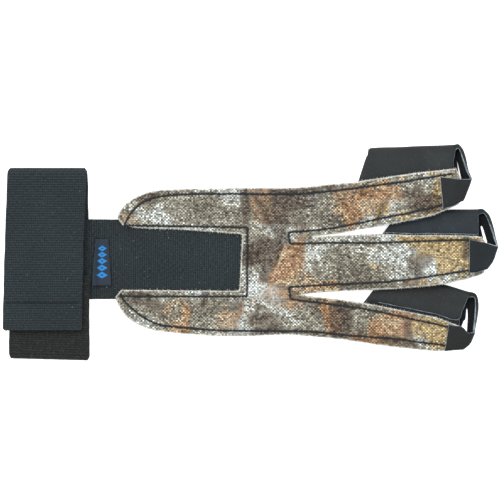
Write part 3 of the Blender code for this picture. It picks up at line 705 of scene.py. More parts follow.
def leather(name, base, dark, light, roughness, grain):
    """Matte leather: fine pores, dusty specks and slow changes of tone."""
    f = Finish(name, roughness, 0.16)
    place = f.place()
    fuzz = f.noise(place, grain * 1.7, 3.0, 0.7)
    broad = f.noise(place, 70.0, 4.0, 0.6)
    creases = f.noise(place, (130.0, 420.0, 200.0), 3.0, 0.6, turn=8.0)
    tall = fuzz * 0.8 + f.cells(place, grain, "SMOOTH_F1") * 0.5 + creases * 0.8
    colour = f.ramp(fuzz * 0.55 + broad * 0.45, [(0.34, dark), (0.50, base), (0.68, light)])
    dust = f.grade(f.noise(place, 2600.0, 0.0), 0.80, 0.84, 0.0, 0.5)
    # Painted shade on the tab folded over the fingertip: the "tip" mark darkens it by about a third.
    colour = f.tint(f.mix(dust, colour, tone(120, 130, 134)), f.mark("tip") * -0.36 + 1.0)
    return f.finish(colour, tall, 0.00013, 0.7, broad * 0.22 + (roughness - 0.11))


def cut_edge_with_highlight():
    """Cut leather edge: pale blue-grey fibres, with painted highlight in the palest tones."""
    f = Finish("cut_edge_with_highlight", 0.85, 0.2)
    place = f.place()
    fibres = f.noise(place, 1800.0, 3.0, 0.7)
    # Painted highlight along the leather's rims: the ramp is lighter than the fibres' own blue-grey, most at
    # its palest stop.
    colour = f.ramp(fibres * 0.6 + f.noise(place, 160.0) * 0.4, [
        (0.36, tone(66, 76, 84)), (0.5, tone(122, 138, 149)), (0.64, tone(196, 206, 212))])
    return f.finish(colour, fibres, 0.0002, 0.8)


def thread(name, dark, light):
    """Twisted sewing thread."""
    f = Finish(name, 0.7, 0.3)
    twist = f.noise(f.place(), (900.0, 2400.0, 900.0), turn=35.0)
    return f.finish(f.ramp(twist, [(0.35, dark), (0.7, light)]), twist, 0.0001, 0.7)


def label_weave():
    """Bare woven label with a row of small outlined lozenges."""
    f = Finish("label_weave", 0.66, 0.15)
    cloth = f.cloth()
    aside, along, _ = f.split(cloth)
    picks = f.noise(cloth, (60.0, 150.0, 1.0), 2.0, 0.6)
    tall = f.wave(along, 1.0 / 70.0) * 0.5 + picks
    ground = f.ramp(f.grade(tall, 0.3, 1.3), [
        (0.0, tone(30, 37, 46)), (0.6, tone(43, 52, 64)), (1.0, tone(66, 77, 90))])
    step = ((along * 7.0).math("FRACT") - 0.5).math("ABSOLUTE")
    reach = (aside - 0.52).math("ABSOLUTE") * 1.35 + step
    solid = f.grade(reach, 0.43, 0.48, 1.0, 0.0) - f.grade(reach, 0.10, 0.15, 1.0, 0.0)
    ends = f.grade(along, 0.140, 0.145) * f.grade(along, 0.855, 0.860, 1.0, 0.0)
    blue = f.ramp(picks, [(0.3, tone(28, 108, 178)), (0.7, tone(56, 150, 222))])
    return f.finish(f.mix(solid * ends, ground, blue), tall, 0.00008, 0.7)


# Wrist strap


def wrist_path(spacing):
    """Middle line of the wrist band as (Y, height), from the free end on top to the hidden end."""
    top = LOOP_HEIGHT - HALF_BAND
    bottom_y = LOOP_TOP - LOOP_FLAT_LENGTH
    big = (top - HALF_BAND) / 2
    small = (INNER_END_HEIGHT - HALF_BAND) / 2
    top_centre = LOOP_TOP - HALF_BAND - big
    path = [(LOOP_TOP - FREE_END_SHARE * LOOP_FLAT_LENGTH, top), (top_centre, top)]
    for centre, radius, start in ((top_centre, big, 90.0), (bottom_y + HALF_BAND + small, small, -90.0)):
        for i in range(41):
            angle = math.radians(start - 4.5 * i)
            path.append((centre + radius * math.cos(angle), HALF_BAND + radius + radius * math.sin(angle)))
    path.append((bottom_y + INNER_END_SHARE * LOOP_FLAT_LENGTH, INNER_END_HEIGHT))
    return even([Vector(p) for p in path], spacing)


def rounding(radius, distance):
    """How far a round corner cuts an edge back, at a distance from its end."""
    return radius - math.sqrt(max(0.0, radius ** 2 - max(0.0, radius - distance) ** 2))


def build_wrist():
    path = wrist_path(WRIST_RIB / 5)
    step = (path[1] - path[0]).length
    total = step * (len(path) - 1)
    bottom_y = LOOP_TOP - LOOP_FLAT_LENGTH
    offsets = across_steps(22)
    grid = np.zeros((len(path), len(offsets), 3))
    uv = np.zeros((len(path), len(offsets), 2))
    for i, (y, z) in enumerate(path):
        along = i * step
        bow = LOOP_BOW * math.exp(-((along - LOOP_BOW_AT) / LOOP_BOW_REACH) ** 2)
        centre = LOOP_CENTRE_X + LOOP_LEAN * along + bow
        narrow = rounding(BAND_CORNER, min(along, total - along))
        narrow += rounding(FOLD_CORNER, min(abs(LOOP_TOP - y), abs(y - bottom_y)))
        ragged = 0.00022 * ripple(along * 140.0, 2.0)
        low = smooth((bottom_y + LOW_REACH - y) / LOW_REACH) if z < LOOP_HEIGHT * 0.7 else 0.0
        free = smooth((y + 0.018) / 0.012) * smooth((LOOP_TOP - 0.006 - y) / 0.012)
        for j, side in enumerate(offsets):
            share = side / HALF_WEB
            sag = 0.0
            if z > LOOP_HEIGHT * 0.8:
                sag = free * (0.00035 * ripple(y * 55.0, side * 40.0, 1.0) - 0.0003 * (1 - share ** 2))
            across = share * (HALF_WEB - BAND_RIM * abs(share) - narrow + ragged + LOOP_FLARE * low)
            rise = (0.0009 - 0.0005 * share) * low
            grid[i, j] = (centre + across, y + rise, z + sag)
            uv[i, j] = (side, along)
    across, along = uv[:, :, 0], uv[:, :, 1]
    lift = ribs(along, across, WRIST_RIB, 1.0)
    pile_from = int((total - INNER_END_SHARE * LOOP_FLAT_LENGTH - 0.006) / step)
    fuzz = field(across * 1900.0, along * 1900.0, 0.0)
    pile = np.clip((np.arange(len(path)) - pile_from) / 6.0, 0.0, 1.0)[:, None]
    top = lift * (1.0 - 0.55 * pile) + pile * (0.00012 + 0.0001 * fuzz)
    # The second and third colours are the painted groove shade and crest highlight of the ribs.
    ribbed = elastic("wrist_elastic", WRIST_RIB, tone(40, 46, 49), tone(30, 34, 37), tone(58, 66, 70), 0.85)
    return thick_grid("wrist_band", grid, uv, HALF_BAND - 0.00002, top, lift, BAND_RIM, [ribbed, loop_pile()],
                      pile_from)


def build_hooks():
    free_y = LOOP_TOP - FREE_END_SHARE * LOOP_FLAT_LENGTH
    half = HALF_WEB - 0.0020
    rows = np.linspace(free_y + 0.0012, free_y + PATCH_LENGTH - 0.0002, 28)[:, None]
    columns = np.linspace(-half + 0.0002, half - 0.0002, 70)[None, :]
    grid = np.zeros((28, 70, 3))
    grid[:, :, 0] = LOOP_CENTRE_X + 0.0006 + columns
    grid[:, :, 1] = rows
    grid[:, :, 2] = (INNER_END_HEIGHT + LOOP_HEIGHT - HALF_BAND) / 2
    bumps = 0.00012 * np.sin(columns * 2600.0) * np.sin(rows * 2600.0)
    return thick_grid("hook_tape_patch", grid, grid[:, :, :2], PATCH_THICKNESS / 2 - 0.0001, bumps * 0.2,
                      bumps, THIN_RIM, [hook_tape()])


# Back strap and label


def strap_height(x):
    """Middle height of the back strap: on the table, then up onto the wrist band's inner face."""
    high = WEBBING_THICKNESS * 1.5 + CLEARANCE * 1.2
    return HALF_BAND + (high - HALF_BAND) * smooth((STRAP_STEP_X + STRAP_STEP_LENGTH - x) / STRAP_STEP_LENGTH)


def build_back():
    step = BACK_RIB / 5
    count = round((STRAP_END_X - STRAP_START_X - 2 * BAND_RIM) / step)
    offsets = [-s for s in across_steps(24)]
    grid = np.zeros((count + 1, len(offsets), 3))
    uv = np.zeros((count + 1, len(offsets), 2))
    for i in range(count + 1):
        x = STRAP_START_X + BAND_RIM + i * step
        ragged = 0.00015 * ripple(x * 160.0, 5.0)
        for j, side in enumerate(offsets):
            grid[i, j] = (x, STRAP_MIDDLE_Y - 0.0005 + side + side / HALF_WEB * ragged, strap_height(x))
            uv[i, j] = (side, x)
    lift = ribs(uv[:, :, 1], uv[:, :, 0], BACK_RIB, 7.0)
    # The second and third colours are the painted groove shade and crest highlight of the ribs.
    ribbed = elastic("back_rib_elastic", BACK_RIB, tone(40, 46, 48), tone(29, 33, 36), tone(60, 68, 71), 0.82)
    return thick_grid("back_elastic", grid, uv, HALF_BAND - 0.00006, lift, lift * 0.5, BAND_RIM, [ribbed])


def build_label():
    rows, columns = 44, 20
    lift = HALF_BAND + CLEARANCE + LABEL_THICKNESS / 2
    grid = np.zeros((rows, columns, 3))
    uv = np.zeros((rows, columns, 2))
    hem = np.zeros((rows, columns))
    for i in range(rows):
        share = i / (rows - 1)
        place = share * (len(LABEL_ROWS) - 1)
        k = min(int(place), len(LABEL_ROWS) - 2)
        left, right, across = [a + (b - a) * (place - k) for a, b in zip(LABEL_ROWS[k], LABEL_ROWS[k + 1])]
        y = STRAP_MIDDLE_Y + across * WEBBING_WIDTH
        y += (share - 0.5) * LABEL_INSET - 0.0008 * smooth(share * 2.0 - 1.0)
        if share < 0.07 or share > 0.93:
            hem[i] = HEM_RISE
        for j in range(columns):
            t = j / (columns - 1)
            x = LABEL_X + (left + (right - left) * t) * WEBBING_WIDTH + (0.5 - t) * LABEL_INSET
            slope = (strap_height(x + 0.0001) - strap_height(x - 0.0001)) / 0.0002
            curl = 0.00022 * smooth((t - 0.7) / 0.3) * (0.6 + 0.4 * math.sin(share * 9.0))
            grid[i, j] = (x, y, strap_height(x) + lift * math.sqrt(1.0 + slope * slope) + curl)
            uv[i, j] = (t, share)
    return thick_grid("woven_label", grid, uv, LABEL_THICKNESS / 2 - 0.0001, hem, hem * 0.5, THIN_RIM,
                      [label_weave()])


# Canvas back panel


def canvas_outline():
    """The cut edge of the canvas, once round its fingers and back along the window."""
    upper = [palm_point(share) for share in UPPER_EDGE] + [strip_edge(FINGERS["index"], "high")[0]]
    lower = [palm_point(share) for share in LOWER_EDGE] + [strip_edge(FINGERS["ring"], "low")[0]]
    outline = curve_through(upper, EDGE_STEP)[:-1]
    for finger in FINGERS.values():
        outline += strip_edge(finger, "high")
        outline += even([finger_point(finger, share) for share in finger["end"]], EDGE_STEP)
        outline += strip_edge(finger, "low")[::-1]
    outline += curve_through(lower, EDGE_STEP)[-2::-1]
    outline += even([palm_point(share) for share in WINDOW_EDGE[::-1]], EDGE_STEP)
    kept = [outline[0]]
    for point in outline[1:]:
        if (point - kept[-1]).length > EDGE_STEP * 0.3:
            kept.append(point)
    ragged = []
    for i, point in enumerate(kept):
        side = kept[(i + 1) % len(kept)] - kept[i - 1]
        out = Vector((-side.y, side.x)).normalized()
        ragged.append(point + out * 0.0001 * ripple(point.x * 1300.0, point.y * 1300.0))
    return ragged


def nearness(points, outline):
    """Whether each point is inside the outline, and how far it is from it."""
    a = np.array([tuple(p) for p in outline])
    b = np.roll(a, -1, axis=0)
    side = b - a
    length = np.maximum((side ** 2).sum(axis=1), 1e-14)
    found = []
    distance = []
    for start in range(0, len(points), 1500):
        p = points[start:start + 1500]
        dx = p[:, 0:1] - a[:, 0]
        dy = p[:, 1:2] - a[:, 1]
        t = np.clip((dx * side[:, 0] + dy * side[:, 1]) / length, 0.0, 1.0)
        gap = np.hypot(dx - t * side[:, 0], dy - t * side[:, 1])
        distance.append(gap.min(axis=1))
        crosses = (a[:, 1] > p[:, 1:2]) != (b[:, 1] > p[:, 1:2])
        steep = np.where(side[:, 1] == 0.0, 1e-12, side[:, 1])
        at = a[:, 0] + side[:, 0] * (p[:, 1:2] - a[:, 1]) / steep
        found.append((crosses & (p[:, 0:1] < at)).sum(axis=1) % 2 == 1)
    return np.concatenate(found), np.concatenate(distance)


# Rows of stitches between two corners each, as shares of the palm or of a finger. The first row runs along
# the upper edge of the palm and the sixth along its lower edge.
SEAMS = [
    [("palm", [(0.047, 0.246), (0.077, 0.317), (0.133, 0.39), (0.231, 0.439), (0.395, 0.457), (0.622, 0.459),
     (0.817, 0.457), (0.995, 0.459)]), ("index", [(0.096, 0.336), (0.289, 0.282), (0.458, 0.255),
     (0.602, 0.232), (0.723, 0.223), (0.819, 0.223), (0.89, 0.218)])],
    [("index", [(0.89, -0.352), (0.819, -0.4), (0.723, -0.432), (0.602, -0.45), (0.458, -0.459),
     (0.289, -0.482), (0.096, -0.473)]), ("palm", [(0.933, 0.2)])],
    [("palm", [(0.939, 0.122), (1.09, 0.126)]), ("middle", [(0.148, 0.362), (0.297, 0.331), (0.424, 0.312),
     (0.551, 0.304), (0.699, 0.296), (0.805, 0.288), (0.885, 0.262)])],
    [("middle", [(0.885, -0.262), (0.805, -0.288), (0.699, -0.327), (0.551, -0.381), (0.424, -0.404),
     (0.297, -0.408), (0.148, -0.404)]), ("palm", [(0.935, -0.169)])],
    [("palm", [(0.946, -0.25)]), ("ring", [(0.06, 0.415), (0.228, 0.437), (0.372, 0.448), (0.54, 0.41),
     (0.659, 0.372), (0.779, 0.35), (0.865, 0.295)])],
    [("ring", [(0.865, -0.14), (0.779, -0.164), (0.659, -0.18), (0.54, -0.197), (0.372, -0.262),
     (0.228, -0.311), (0.06, -0.361)]), ("palm", [(0.752, -0.464), (0.558, -0.461), (0.362, -0.441),
     (0.231, -0.42), (0.126, -0.351), (0.055, -0.273), (0.025, -0.211)])],
    [("palm", [(0.933, 0.2), (0.939, 0.122)])],
    [("palm", [(0.935, -0.169), (0.946, -0.25)])],
    [("palm", [(0.047, 0.246), (0.347, 0.24), (0.712, 0.233)])],
    [("palm", [(0.712, 0.233), (0.709, -0.232)])],
    [("palm", [(0.709, -0.232), (0.347, -0.232), (0.025, -0.231)])],
]


def seam_lines():
    lines = []
    for parts in SEAMS:
        points = []
        for where, shares in parts:
            if where == "palm":
                points += [palm_point(share) for share in shares]
            else:
                points += [finger_point(FINGERS[where], share) for share in shares]
        lines.append(curve_through(points, 0.0002))
    return lines


def build_canvas(lines):
    outline = canvas_outline()
    corners = np.array([tuple(p) for p in outline])
    low = corners.min(axis=0)
    high = corners.max(axis=0)
    rise = CANVAS_GRID * 0.866
    places = []
    for j in range(int((high[1] - low[1]) / rise) + 1):
        for i in range(int((high[0] - low[0]) / CANVAS_GRID) + 2):
            places.append((low[0] + (i + 0.5 * (j % 2)) * CANVAS_GRID, low[1] + (j + 0.5) * rise))
    places = np.array(places)
    found, distance = nearness(places, outline)
    places = places[found & (distance > CANVAS_GRID * 0.5)]
    points = outline + [Vector(p) for p in places]
    count = len(outline)
    edges = [(i, (i + 1) % count) for i in range(count)]
    flat, _, faces, _, _, _ = geometry.delaunay_2d_cdt(points, edges, [list(range(count))], 1, 1e-7)
    faces = [tuple(face) for face in faces]
    middle = np.array([(p.x, p.y, canvas_height(p.x, p.y)) for p in flat])
    _, edge = nearness(middle[:, :2], outline)
    sewn_places = [p for line in lines for p in line]
    tree = kdtree.KDTree(len(sewn_places))
    for k, p in enumerate(sewn_places):
        tree.insert((p.x, p.y, 0.0), k)
    tree.balance()
    sewn = np.array([tree.find((p.x, p.y, 0.0))[2] for p in flat])
    for k, (p, q, r) in enumerate(faces):
        if (flat[q] - flat[p]).cross(flat[r] - flat[p]) <= 0.0:
            faces[k] = (r, q, p)
    dip = DIP_DEPTH * np.exp(-(sewn / DIP_WIDTH) ** 2)
    worn = WEAR_DEPTH * np.exp(-(edge / WEAR_WIDTH) ** 2)
    rough = 0.00003 * field(*(middle.T * 1500.0))
    points, solid, kinds, rims = close_sheet(middle, faces, CANVAS_THICKNESS / 2, 0.00012, 0.0001,
                                             rough - dip - worn)
    points = points + np.array(SHIFT)
    finishes = [canvas_print(), canvas_back("canvas_plain", tone(120, 112, 96), tone(186, 180, 164)),
                canvas_back("canvas_raw_edge", tone(170, 166, 152), tone(236, 236, 228))]
    values = {"edge": np.concatenate([edge, edge, np.zeros(len(rims))]),
              "sewn": np.concatenate([sewn, sewn, sewn[rims]])}
    return make_piece("canvas_panel", points, solid, finishes, kinds, values=values), outline


# Threads


def add_tube(points, faces, path, radii, sides):
    """A closed tube along a path; radii holds one number for each place."""
    start = len(points)
    for i, place in enumerate(path):
        ahead = (path[min(i + 1, len(path) - 1)] - path[max(i - 1, 0)]).normalized()
        level = ahead.cross(Vector((0.0, 0.0, 1.0)))
        level = level.normalized() if level.length > 0.05 else Vector((1.0, 0.0, 0.0))
        up = level.cross(ahead)
        for k in range(sides):
            angle = 2.0 * math.pi * k / sides
            points.append(place + (level * math.cos(angle) + up * math.sin(angle)) * radii[i])
    for i in range(len(path) - 1):
        for k in range(sides):
            a = start + i * sides + k
            b = start + i * sides + (k + 1) % sides
            faces.append((a, b, b + sides, a + sides))
    faces.append(tuple(start + k for k in reversed(range(sides))))
    last = start + (len(path) - 1) * sides
    faces.append(tuple(last + k for k in range(sides)))


def build_stitches(name, lines, surface, side, finish, radius=THREAD):
    """Stitches along each line, sunk at both ends, on the upper or lower side of a surface."""
    points = []
    faces = []
    chance = random.Random(11)
    for line in lines:
        total = sum((b - a).length for a, b in zip(line, line[1:]))
        count = max(1, round(total / STITCH))
        each = (len(line) - 1) / count
        for k in range(count):
            path = []
            wander = chance.uniform(-WANDER, WANDER)
            for t in (0.0, 0.09, 0.3, 0.5, 0.7, 0.91, 1.0):
                where = (k + t) * each
                i = min(int(where), len(line) - 2)
                place = line[i].lerp(line[i + 1], where - i)
                ahead = (line[i + 1] - line[i]).normalized()
                place = place + Vector((-ahead.y, ahead.x)) * (wander + WANDER * math.sin(t * 6.0 + k))
                height = surface(place.x, place.y)
                lift = radius * (-0.45 + 0.65 * min(1.0, math.sin(math.pi * t) * 1.8))
                path.append(Vector((place.x, place.y, height + side * lift)) + SHIFT)
            shape = [0.45, 0.8, 1.0, 1.05, 1.0, 0.8, 0.45]
            add_tube(points, faces, path, [radius * s * chance.uniform(0.93, 1.07) for s in shape], 7)
    return make_piece(name, points, faces, [finish])


def build_fray(outline):
    """Loose fibres along the raw edges of the canvas."""
    points = []
    faces = []
    chance = random.Random(5)
    for a, b in zip(outline, outline[1:] + outline[:1]):
        side = b - a
        if side.length < 1e-6:
            continue
        ahead = side.normalized()
        out = Vector((-side.y, side.x)).normalized()
        for _ in range(2 if chance.random() < 0.55 else 1):
            start = a.lerp(b, chance.random())
            turn = chance.uniform(-1.0, 1.0)
            reach = chance.uniform(0.0003, 0.0008) * (1.8 if chance.random() < 0.06 else 1.0)
            way = (out + ahead * turn).normalized()
            curl = (out - ahead * turn * 0.7).normalized()
            inner = start - out * 0.00035
            height = canvas_height(inner.x, inner.y) + chance.uniform(-0.0004, 0.00045)
            fall = chance.uniform(-0.25, 0.2) * reach
            path = [Vector((inner.x, inner.y, height)),
                    Vector((*(start + way * reach * 0.5), height + fall * 0.4)),
                    Vector((*(start + way * reach * 0.6 + curl * reach * 0.4), height + fall))]
            add_tube(points, faces, [p + SHIFT for p in path], [0.00009, 0.00008, 0.00004], 3)
    f = Finish("frayed_fibre", 0.9, 0.15)
    pale = f.noise(f.place(), 700.0)
    colour = f.ramp(pale, [(0.35, tone(158, 154, 140)), (0.65, tone(238, 240, 236))])
    return make_piece("canvas_fray", points, faces, [f.finish(colour, pale, 0.00005)])


# Leather stalls

# The parts of a stall's section, from the high seam to the low one, and the places of the mouth there.
PARTS = ("seam", "wall", "fold", "floor", "foot", "far", "low")
MOUTH_SHARES = (-0.05, 0.45, 1.0, 1.05, 0.8, 0.3, 0.1)


def arc(centre, half_width, half_height, start, stop, steps, mark):
    made = []
    steps *= DETAIL
    for i in range(steps + 1):
        angle = math.radians(start + (stop - start) * i / steps)
        made.append((centre[0] + half_width * math.cos(angle),
                     centre[1] + half_height * math.sin(angle), mark))
    return made


def line(start, stop, steps, mark, belly=0.0):
    """The places between two ends, bellied up in the middle."""
    middle = ((start[0] + stop[0]) / 2, (start[1] + stop[1]) / 2 + 2.0 * belly)
    return bend(start, middle, stop, steps, mark)[1:-1]


def bend(before, corner, after, steps, mark):
    made = []
    steps *= DETAIL
    for i in range(steps + 1):
        t = i / steps
        made.append(tuple((1 - t) ** 2 * before[k] + 2 * t * (1 - t) * corner[k] + t * t * after[k]
                          for k in (0, 1)) + (mark,))
    return made


def towards(start, stop, distance):
    length = math.hypot(stop[0] - start[0], stop[1] - start[1])
    return (start[0] + (stop[0] - start[0]) * distance / length,
            start[1] + (stop[1] - start[1]) * distance / length)


def section(finger, along):
    """Middle line of the leather round a finger: (across, height, mark) from the high seam to the low."""
    strip = strip_at(finger, along)
    stall = read_row(finger["stall"], STALL_COLUMNS, along / finger["length"])
    width = finger["width"]
    high = strip["high"] * width
    low = strip["low"] * width

    def flange(across):
        return across, canvas_under(finger, along, across) - CLEARANCE - HALF_LEATHER

    turn_across, turn_height = flange(high - SEAM_MARGIN)
    fold_half = (stall["rise"] * STALL_HEIGHT - HALF_LEATHER) / 2
    fold_centre = (stall["fold"] * width - FOLD_DEPTH, HALF_LEATHER + fold_half)
    shown = finger["shows"] * LEATHER_SHOWS + 0.00012 * ripple(along * 500.0, width * 300.0)
    seam = flange(high + shown)
    path = [(*seam, "seam")]
    path += line(seam, (turn_across, turn_height), 1, "seam")
    path += arc((turn_across, turn_height - TURN_RADIUS), TURN_RADIUS, TURN_RADIUS, 90.0, 270.0, 4, "seam")
    fold_arc = arc(fold_centre, FOLD_DEPTH, fold_half, 90.0, -90.0, 6, "fold")
    path += line(path[-1], fold_arc[0], 4, "wall", WALL_BELLY)
    path += fold_arc
    foot = (stall["foot"] * width, HALF_LEATHER)
    far_top = flange(low + SEAM_MARGIN)
    foot_bend = bend(towards(foot, fold_arc[-1], FOOT_REACH), foot,
                     towards(foot, far_top, FOOT_REACH), 2, "foot")
    path += line(fold_arc[-1], foot_bend[0], 4, "floor")
    path += foot_bend
    low_edge = flange(low + 0.0003)
    top_bend = bend(towards(far_top, foot, 0.0014), far_top, towards(far_top, low_edge, 0.0012), 2, "far")
    path += line(foot_bend[-1], top_bend[0], 3, "far")
    path += top_bend
    path.append((*low_edge, "low"))
    return path


def spread(path, shares):
    """A share for each point of the section, joined between the middles of its marked parts."""
    marks = [p[2] for p in path]
    shares = dict(zip(PARTS, shares))
    anchors = []
    for mark in dict.fromkeys(marks):
        places = [i for i, m in enumerate(marks) if m == mark]
        if mark in ("seam", "fold", "far", "low"):
            anchors += [(places[0], shares[mark]), (places[-1], shares[mark])]
        else:
            anchors.append((0.5 * (places[0] + places[-1]), shares[mark]))
    values = []
    for i in range(len(path)):
        for (a, va), (b, vb) in zip(anchors, anchors[1:]):
            if a <= i <= b:
                values.append(va if a == b else va + (vb - va) * (i - a) / (b - a))
                break
    return values


def tab_rows(finger, rim):
    """Rows of the tab that folds over the fingertip, each with one place for every place of the rim."""
    length = finger["length"]
    width = finger["width"]
    steps = [0.0]
    for a, b in zip(rim, rim[1:]):
        steps.append(steps[-1] + (b - a).length)
    shares = [s / steps[-1] for s in steps]
    bow = [p - rim[0].lerp(rim[-1], t) for p, t in zip(rim, shares)]
    end = finger["end"][0][0] * length

    def on_strip(place):
        """Height at which the leather lies on the strip."""
        return canvas_under(finger, min(place.x, end), place.y) + CANVAS_THICKNESS + CLEARANCE + HALF_LEATHER

    keys = [(rim[0], rim[-1], 1.0)]
    shift = finger["tab_shift"]
    for k, (row, rises) in enumerate(zip(finger["tab"], TAB_RISES)):
        back = shift[0] * smooth((k - 6.0) / 2.0)
        up = shift[1] * smooth((k - 4.0) / 3.0)
        near_place = Vector(((row[0] + back) * length, (row[1] + up) * width, 0.0))
        far_place = Vector(((row[2] + back) * length, row[3] * width, 0.0))
        near_place.z = rises[0] * on_strip(near_place)
        far_place.z = max(rises[1] * on_strip(far_place), HALF_LEATHER)
        keys.append((near_place, far_place, rises[2]))
    made = []
    ends = [keys[0], *keys, keys[-1]]
    for k in range(len(keys) - 1):
        near_keys, far_keys, bulges = zip(*ends[k:k + 4])
        for step in range(1, TAB_STEPS + 1):
            t = step / TAB_STEPS
            near_place = spline(*near_keys, t)
            far_place = spline(*far_keys, t)
            bulge = bulges[1] + (bulges[2] - bulges[1]) * t
            turned = math.radians(90.0) * smooth((k + t) / 3.5)
            row = []
            for share, out in zip(shares, bow):
                place = near_place.lerp(far_place, share)
                place += bulge * Vector((out.y * math.sin(turned) + out.x, out.y * math.cos(turned), out.z))
                if k >= 7:
                    place.z += (on_strip(place) - place.z) * smooth((k + t - 7.0) / 0.8)
                row.append(place)
            made.append(row)
    return made


def build_stall(name, finishes):
    finger = FINGERS[name]
    length = finger["length"]
    pattern = section(finger, finger["mouth"] * length)
    marks = [p[2] for p in pattern]
    mouth_shares = spread(pattern, MOUTH_SHARES)
    rim_shares = spread(pattern, finger["rims"])
    near = marks.index("fold")
    far = marks.index("floor") + DETAIL - 1
    folds = marks.count("fold")
    for j in range(folds // 2):
        mouth_shares[near + j] = AT_FOLD + (1.0 - AT_FOLD) * math.sin(math.pi * j / (folds - 1))
    walls = [j for j, mark in enumerate(marks) if mark == "wall"]
    wall_start = finger["wall_start"]
    for j in walls:
        mouth_shares[j] = wall_start + (AT_FOLD - wall_start) * (j - walls[0]) / len(walls)
    for j in range(walls[0]):
        mouth_shares[j] = finger["flange_start"] + (wall_start - finger["flange_start"]) * (j / walls[0]) ** 2
    columns = len(pattern)
    points = []
    for i in range(TUBE_ROWS + 1):
        t = i / TUBE_ROWS
        for j in range(columns):
            start = (finger["mouth"] + mouth_shares[j] * finger["mouth_slant"]) * length
            stop = (finger["rim"] + rim_shares[j] * finger["rim_slant"]) * length
            along = start + (stop - start) * t
            across, height, mark = section(finger, along)[j]
            if mark in ("wall", "fold"):
                corner = LIP_ROUND * (1.0 - smooth((along - start) / LIP_REACH)) ** 2
                across += 0.0003 * smooth((t - 0.55) / 0.45) - (corner if mark == "fold" else corner * 0.3)
                height += 0.00022 * ripple(along * 160.0, across * 200.0, length * 90.0)
                across += 0.00018 * ripple(along * 110.0, height * 200.0, length * 70.0)
            points.append(Vector((along, across, max(height, HALF_LEATHER))))
    faces = []
    for i in range(TUBE_ROWS):
        for j in range(columns - 1):
            a = i * columns + j
            faces.append((a, a + columns, a + columns + 1, a + 1))
    last = list(range(TUBE_ROWS * columns + near, TUBE_ROWS * columns + far + 1))
    rim = [points[k] for k in last]
    for places in tab_rows(finger, rim):
        row = []
        for place in places:
            place.z = max(place.z, HALF_LEATHER)
            row.append(len(points))
            points.append(place)
        for j in range(len(row) - 1):
            faces.append((last[j], row[j], row[j + 1], last[j + 1]))
        last = row
    placed = [to_world(finger, p.x, p.y, p.z) + SHIFT for p in points]
    for x, y, out_x, out_y, reach in finger["bulges"]:
        for place in placed:
            near_by = math.exp(-((place.x - x) ** 2 + (place.y - y) ** 2) / reach ** 2)
            place += Vector((out_x, out_y, 0.0)) * near_by
    # Painted shade: the leather finish darkens the tab points marked here.
    tab_shade = np.zeros(len(placed))
    tab_shade[(TUBE_ROWS + 1) * columns:] = 1.0
    placed, solid, kinds, rims = close_sheet(placed, faces, HALF_LEATHER, 0.00022, 0.0)
    for k, face in enumerate(solid):
        if kinds[k] == 2:
            x, y, _ = placed[list(face)].mean(axis=0)
            along, across = to_finger(finger, x - SHIFT.x, y - SHIFT.y)
            high = strip_at(finger, along)["high"] * finger["width"]
            at_mouth = along < (finger["mouth"] + 1.25 * finger["mouth_slant"]) * length
            if at_mouth and not high - 0.001 < across < high + 0.0013:
                kinds[k] = 0
    return make_piece(name + "_leather_stall", placed, solid, finishes, kinds,
                      values={"tip": np.concatenate([tab_shade, tab_shade, tab_shade[rims]])})


# Scene

CAMERA_HEIGHT = 2.2
SEEN_WIDTH = 0.2375


def build_floor():
    points = [(-1.5, -1.5, -0.0003), (1.5, -1.5, -0.0003), (1.5, 1.5, -0.0003), (-1.5, 1.5, -0.0003)]
    f = Finish("floor", 0.9, 0.1)
    grain = f.noise(f.place(), 40.0)
    f.shader.inputs["Emission Color"].default_value = (1.0, 1.0, 1.0, 1.0)
    f.shader.inputs["Emission Strength"].default_value = 0.85
    colour = f.ramp(grain, [(0.3, (0.86, 0.86, 0.86, 1.0)), (0.7, (0.87, 0.87, 0.87, 1.0))])
    floor = make_piece("floor", points, [(0, 1, 2, 3)], [f.finish(colour, grain, 0.00002, 0.1)])


def add_light(name, place, size, energy):
    data = bpy.data.lights.new(name, "AREA")
    data.shape = "SQUARE"
    data.size = size
    data.energy = energy
    lamp = bpy.data.objects.new(name, data)
    lamp.location = place
    lamp.rotation_euler = (-Vector(place)).to_track_quat("-Z", "Y").to_euler()
    bpy.context.scene.collection.objects.link(lamp)


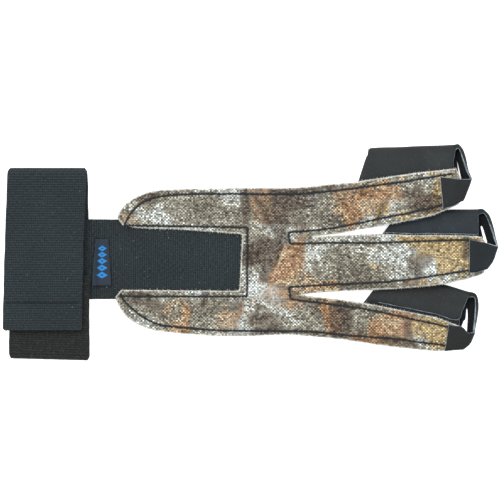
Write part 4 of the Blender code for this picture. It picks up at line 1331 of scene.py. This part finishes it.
def build_stage():
    build_floor()
    world = bpy.data.worlds.new("studio")
    world.use_nodes = True
    world.node_tree.nodes["Background"].inputs["Color"].default_value = (1.0, 1.0, 1.0, 1.0)
    world.node_tree.nodes["Background"].inputs["Strength"].default_value = 0.7
    bpy.context.scene.world = world
    bpy.context.scene.view_settings.view_transform = "Standard"
    add_light("key", (-0.5, 0.7, 1.3), 1.2, 17.0)
    add_light("fill", (0.7, -0.5, 1.3), 1.2, 5.0)
    data = bpy.data.cameras.new("camera")
    data.sensor_width = 36.0
    data.lens = data.sensor_width * CAMERA_HEIGHT / SEEN_WIDTH
    camera = bpy.data.objects.new("camera", data)
    camera.location = (-0.0002, 0.0012, CAMERA_HEIGHT)
    bpy.context.scene.collection.objects.link(camera)
    bpy.context.scene.camera = camera


def dress(piece, node):
    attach(piece, "root")
    if node:
        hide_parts(node)


build_stage()
dress(build_wrist(), "wrist_strap")
dress(build_hooks(), "hook_patch")
dress(build_back(), "back_strap")
dress(build_label(), "label")

seams = seam_lines()
panel, cut = build_canvas(seams)
dress(panel, "back_panel")


def canvas_top(x, y):
    return canvas_height(x, y) + CANVAS_THICKNESS / 2 - 0.0002


def canvas_bottom(x, y):
    return canvas_height(x, y) - CANVAS_THICKNESS / 2


navy = thread("seam_thread", tone(22, 28, 33), tone(42, 51, 59))
stitches = build_stitches("canvas_stitches", seams, canvas_top, 1.0, navy)
dress(stitches, None)
palm_seams = [[p for p in seam if p.x < UNDER_SEAM_END] for seam in (seams[0], seams[5])]
under_stitches = build_stitches("canvas_under_stitches", palm_seams, canvas_bottom, -1.0, navy)
dress(under_stitches, None)
fray = build_fray(cut)
dress(fray, None)

inner = leather("stall_lining", tone(34, 35, 37), tone(24, 24, 26), tone(50, 51, 52), 0.85, 2200.0)
edges = cut_edge_with_highlight()
for finger_name, finger_sizes in FINGERS.items():
    shade = finger_sizes["shade"]
    outer = leather(finger_name + "_outer_leather", tone(*shade), tone(*(0.8 * v for v in shade)),
                    tone(*(1.3 * v for v in shade)), 0.62, 1500.0)
    dress(build_stall(finger_name, [outer, inner, edges]), finger_name + "_stall")

closure_y = LOOP_TOP - FREE_END_SHARE * LOOP_FLAT_LENGTH + PATCH_LENGTH - 0.0003
closure = [Vector((LOOP_CENTRE_X + CLOSURE_LENGTH * (i / 160 - 0.5), closure_y + 0.00012 * math.sin(i * 1.1)))
           for i in range(161)]
black = thread("closure_thread", tone(12, 14, 17), tone(26, 30, 34))
closure_stitches = build_stitches("closure_stitches", [closure], lambda x, y: LOOP_HEIGHT + 0.0001, 1.0,
                                  black, CLOSURE_THREAD)
dress(closure_stitches, None)
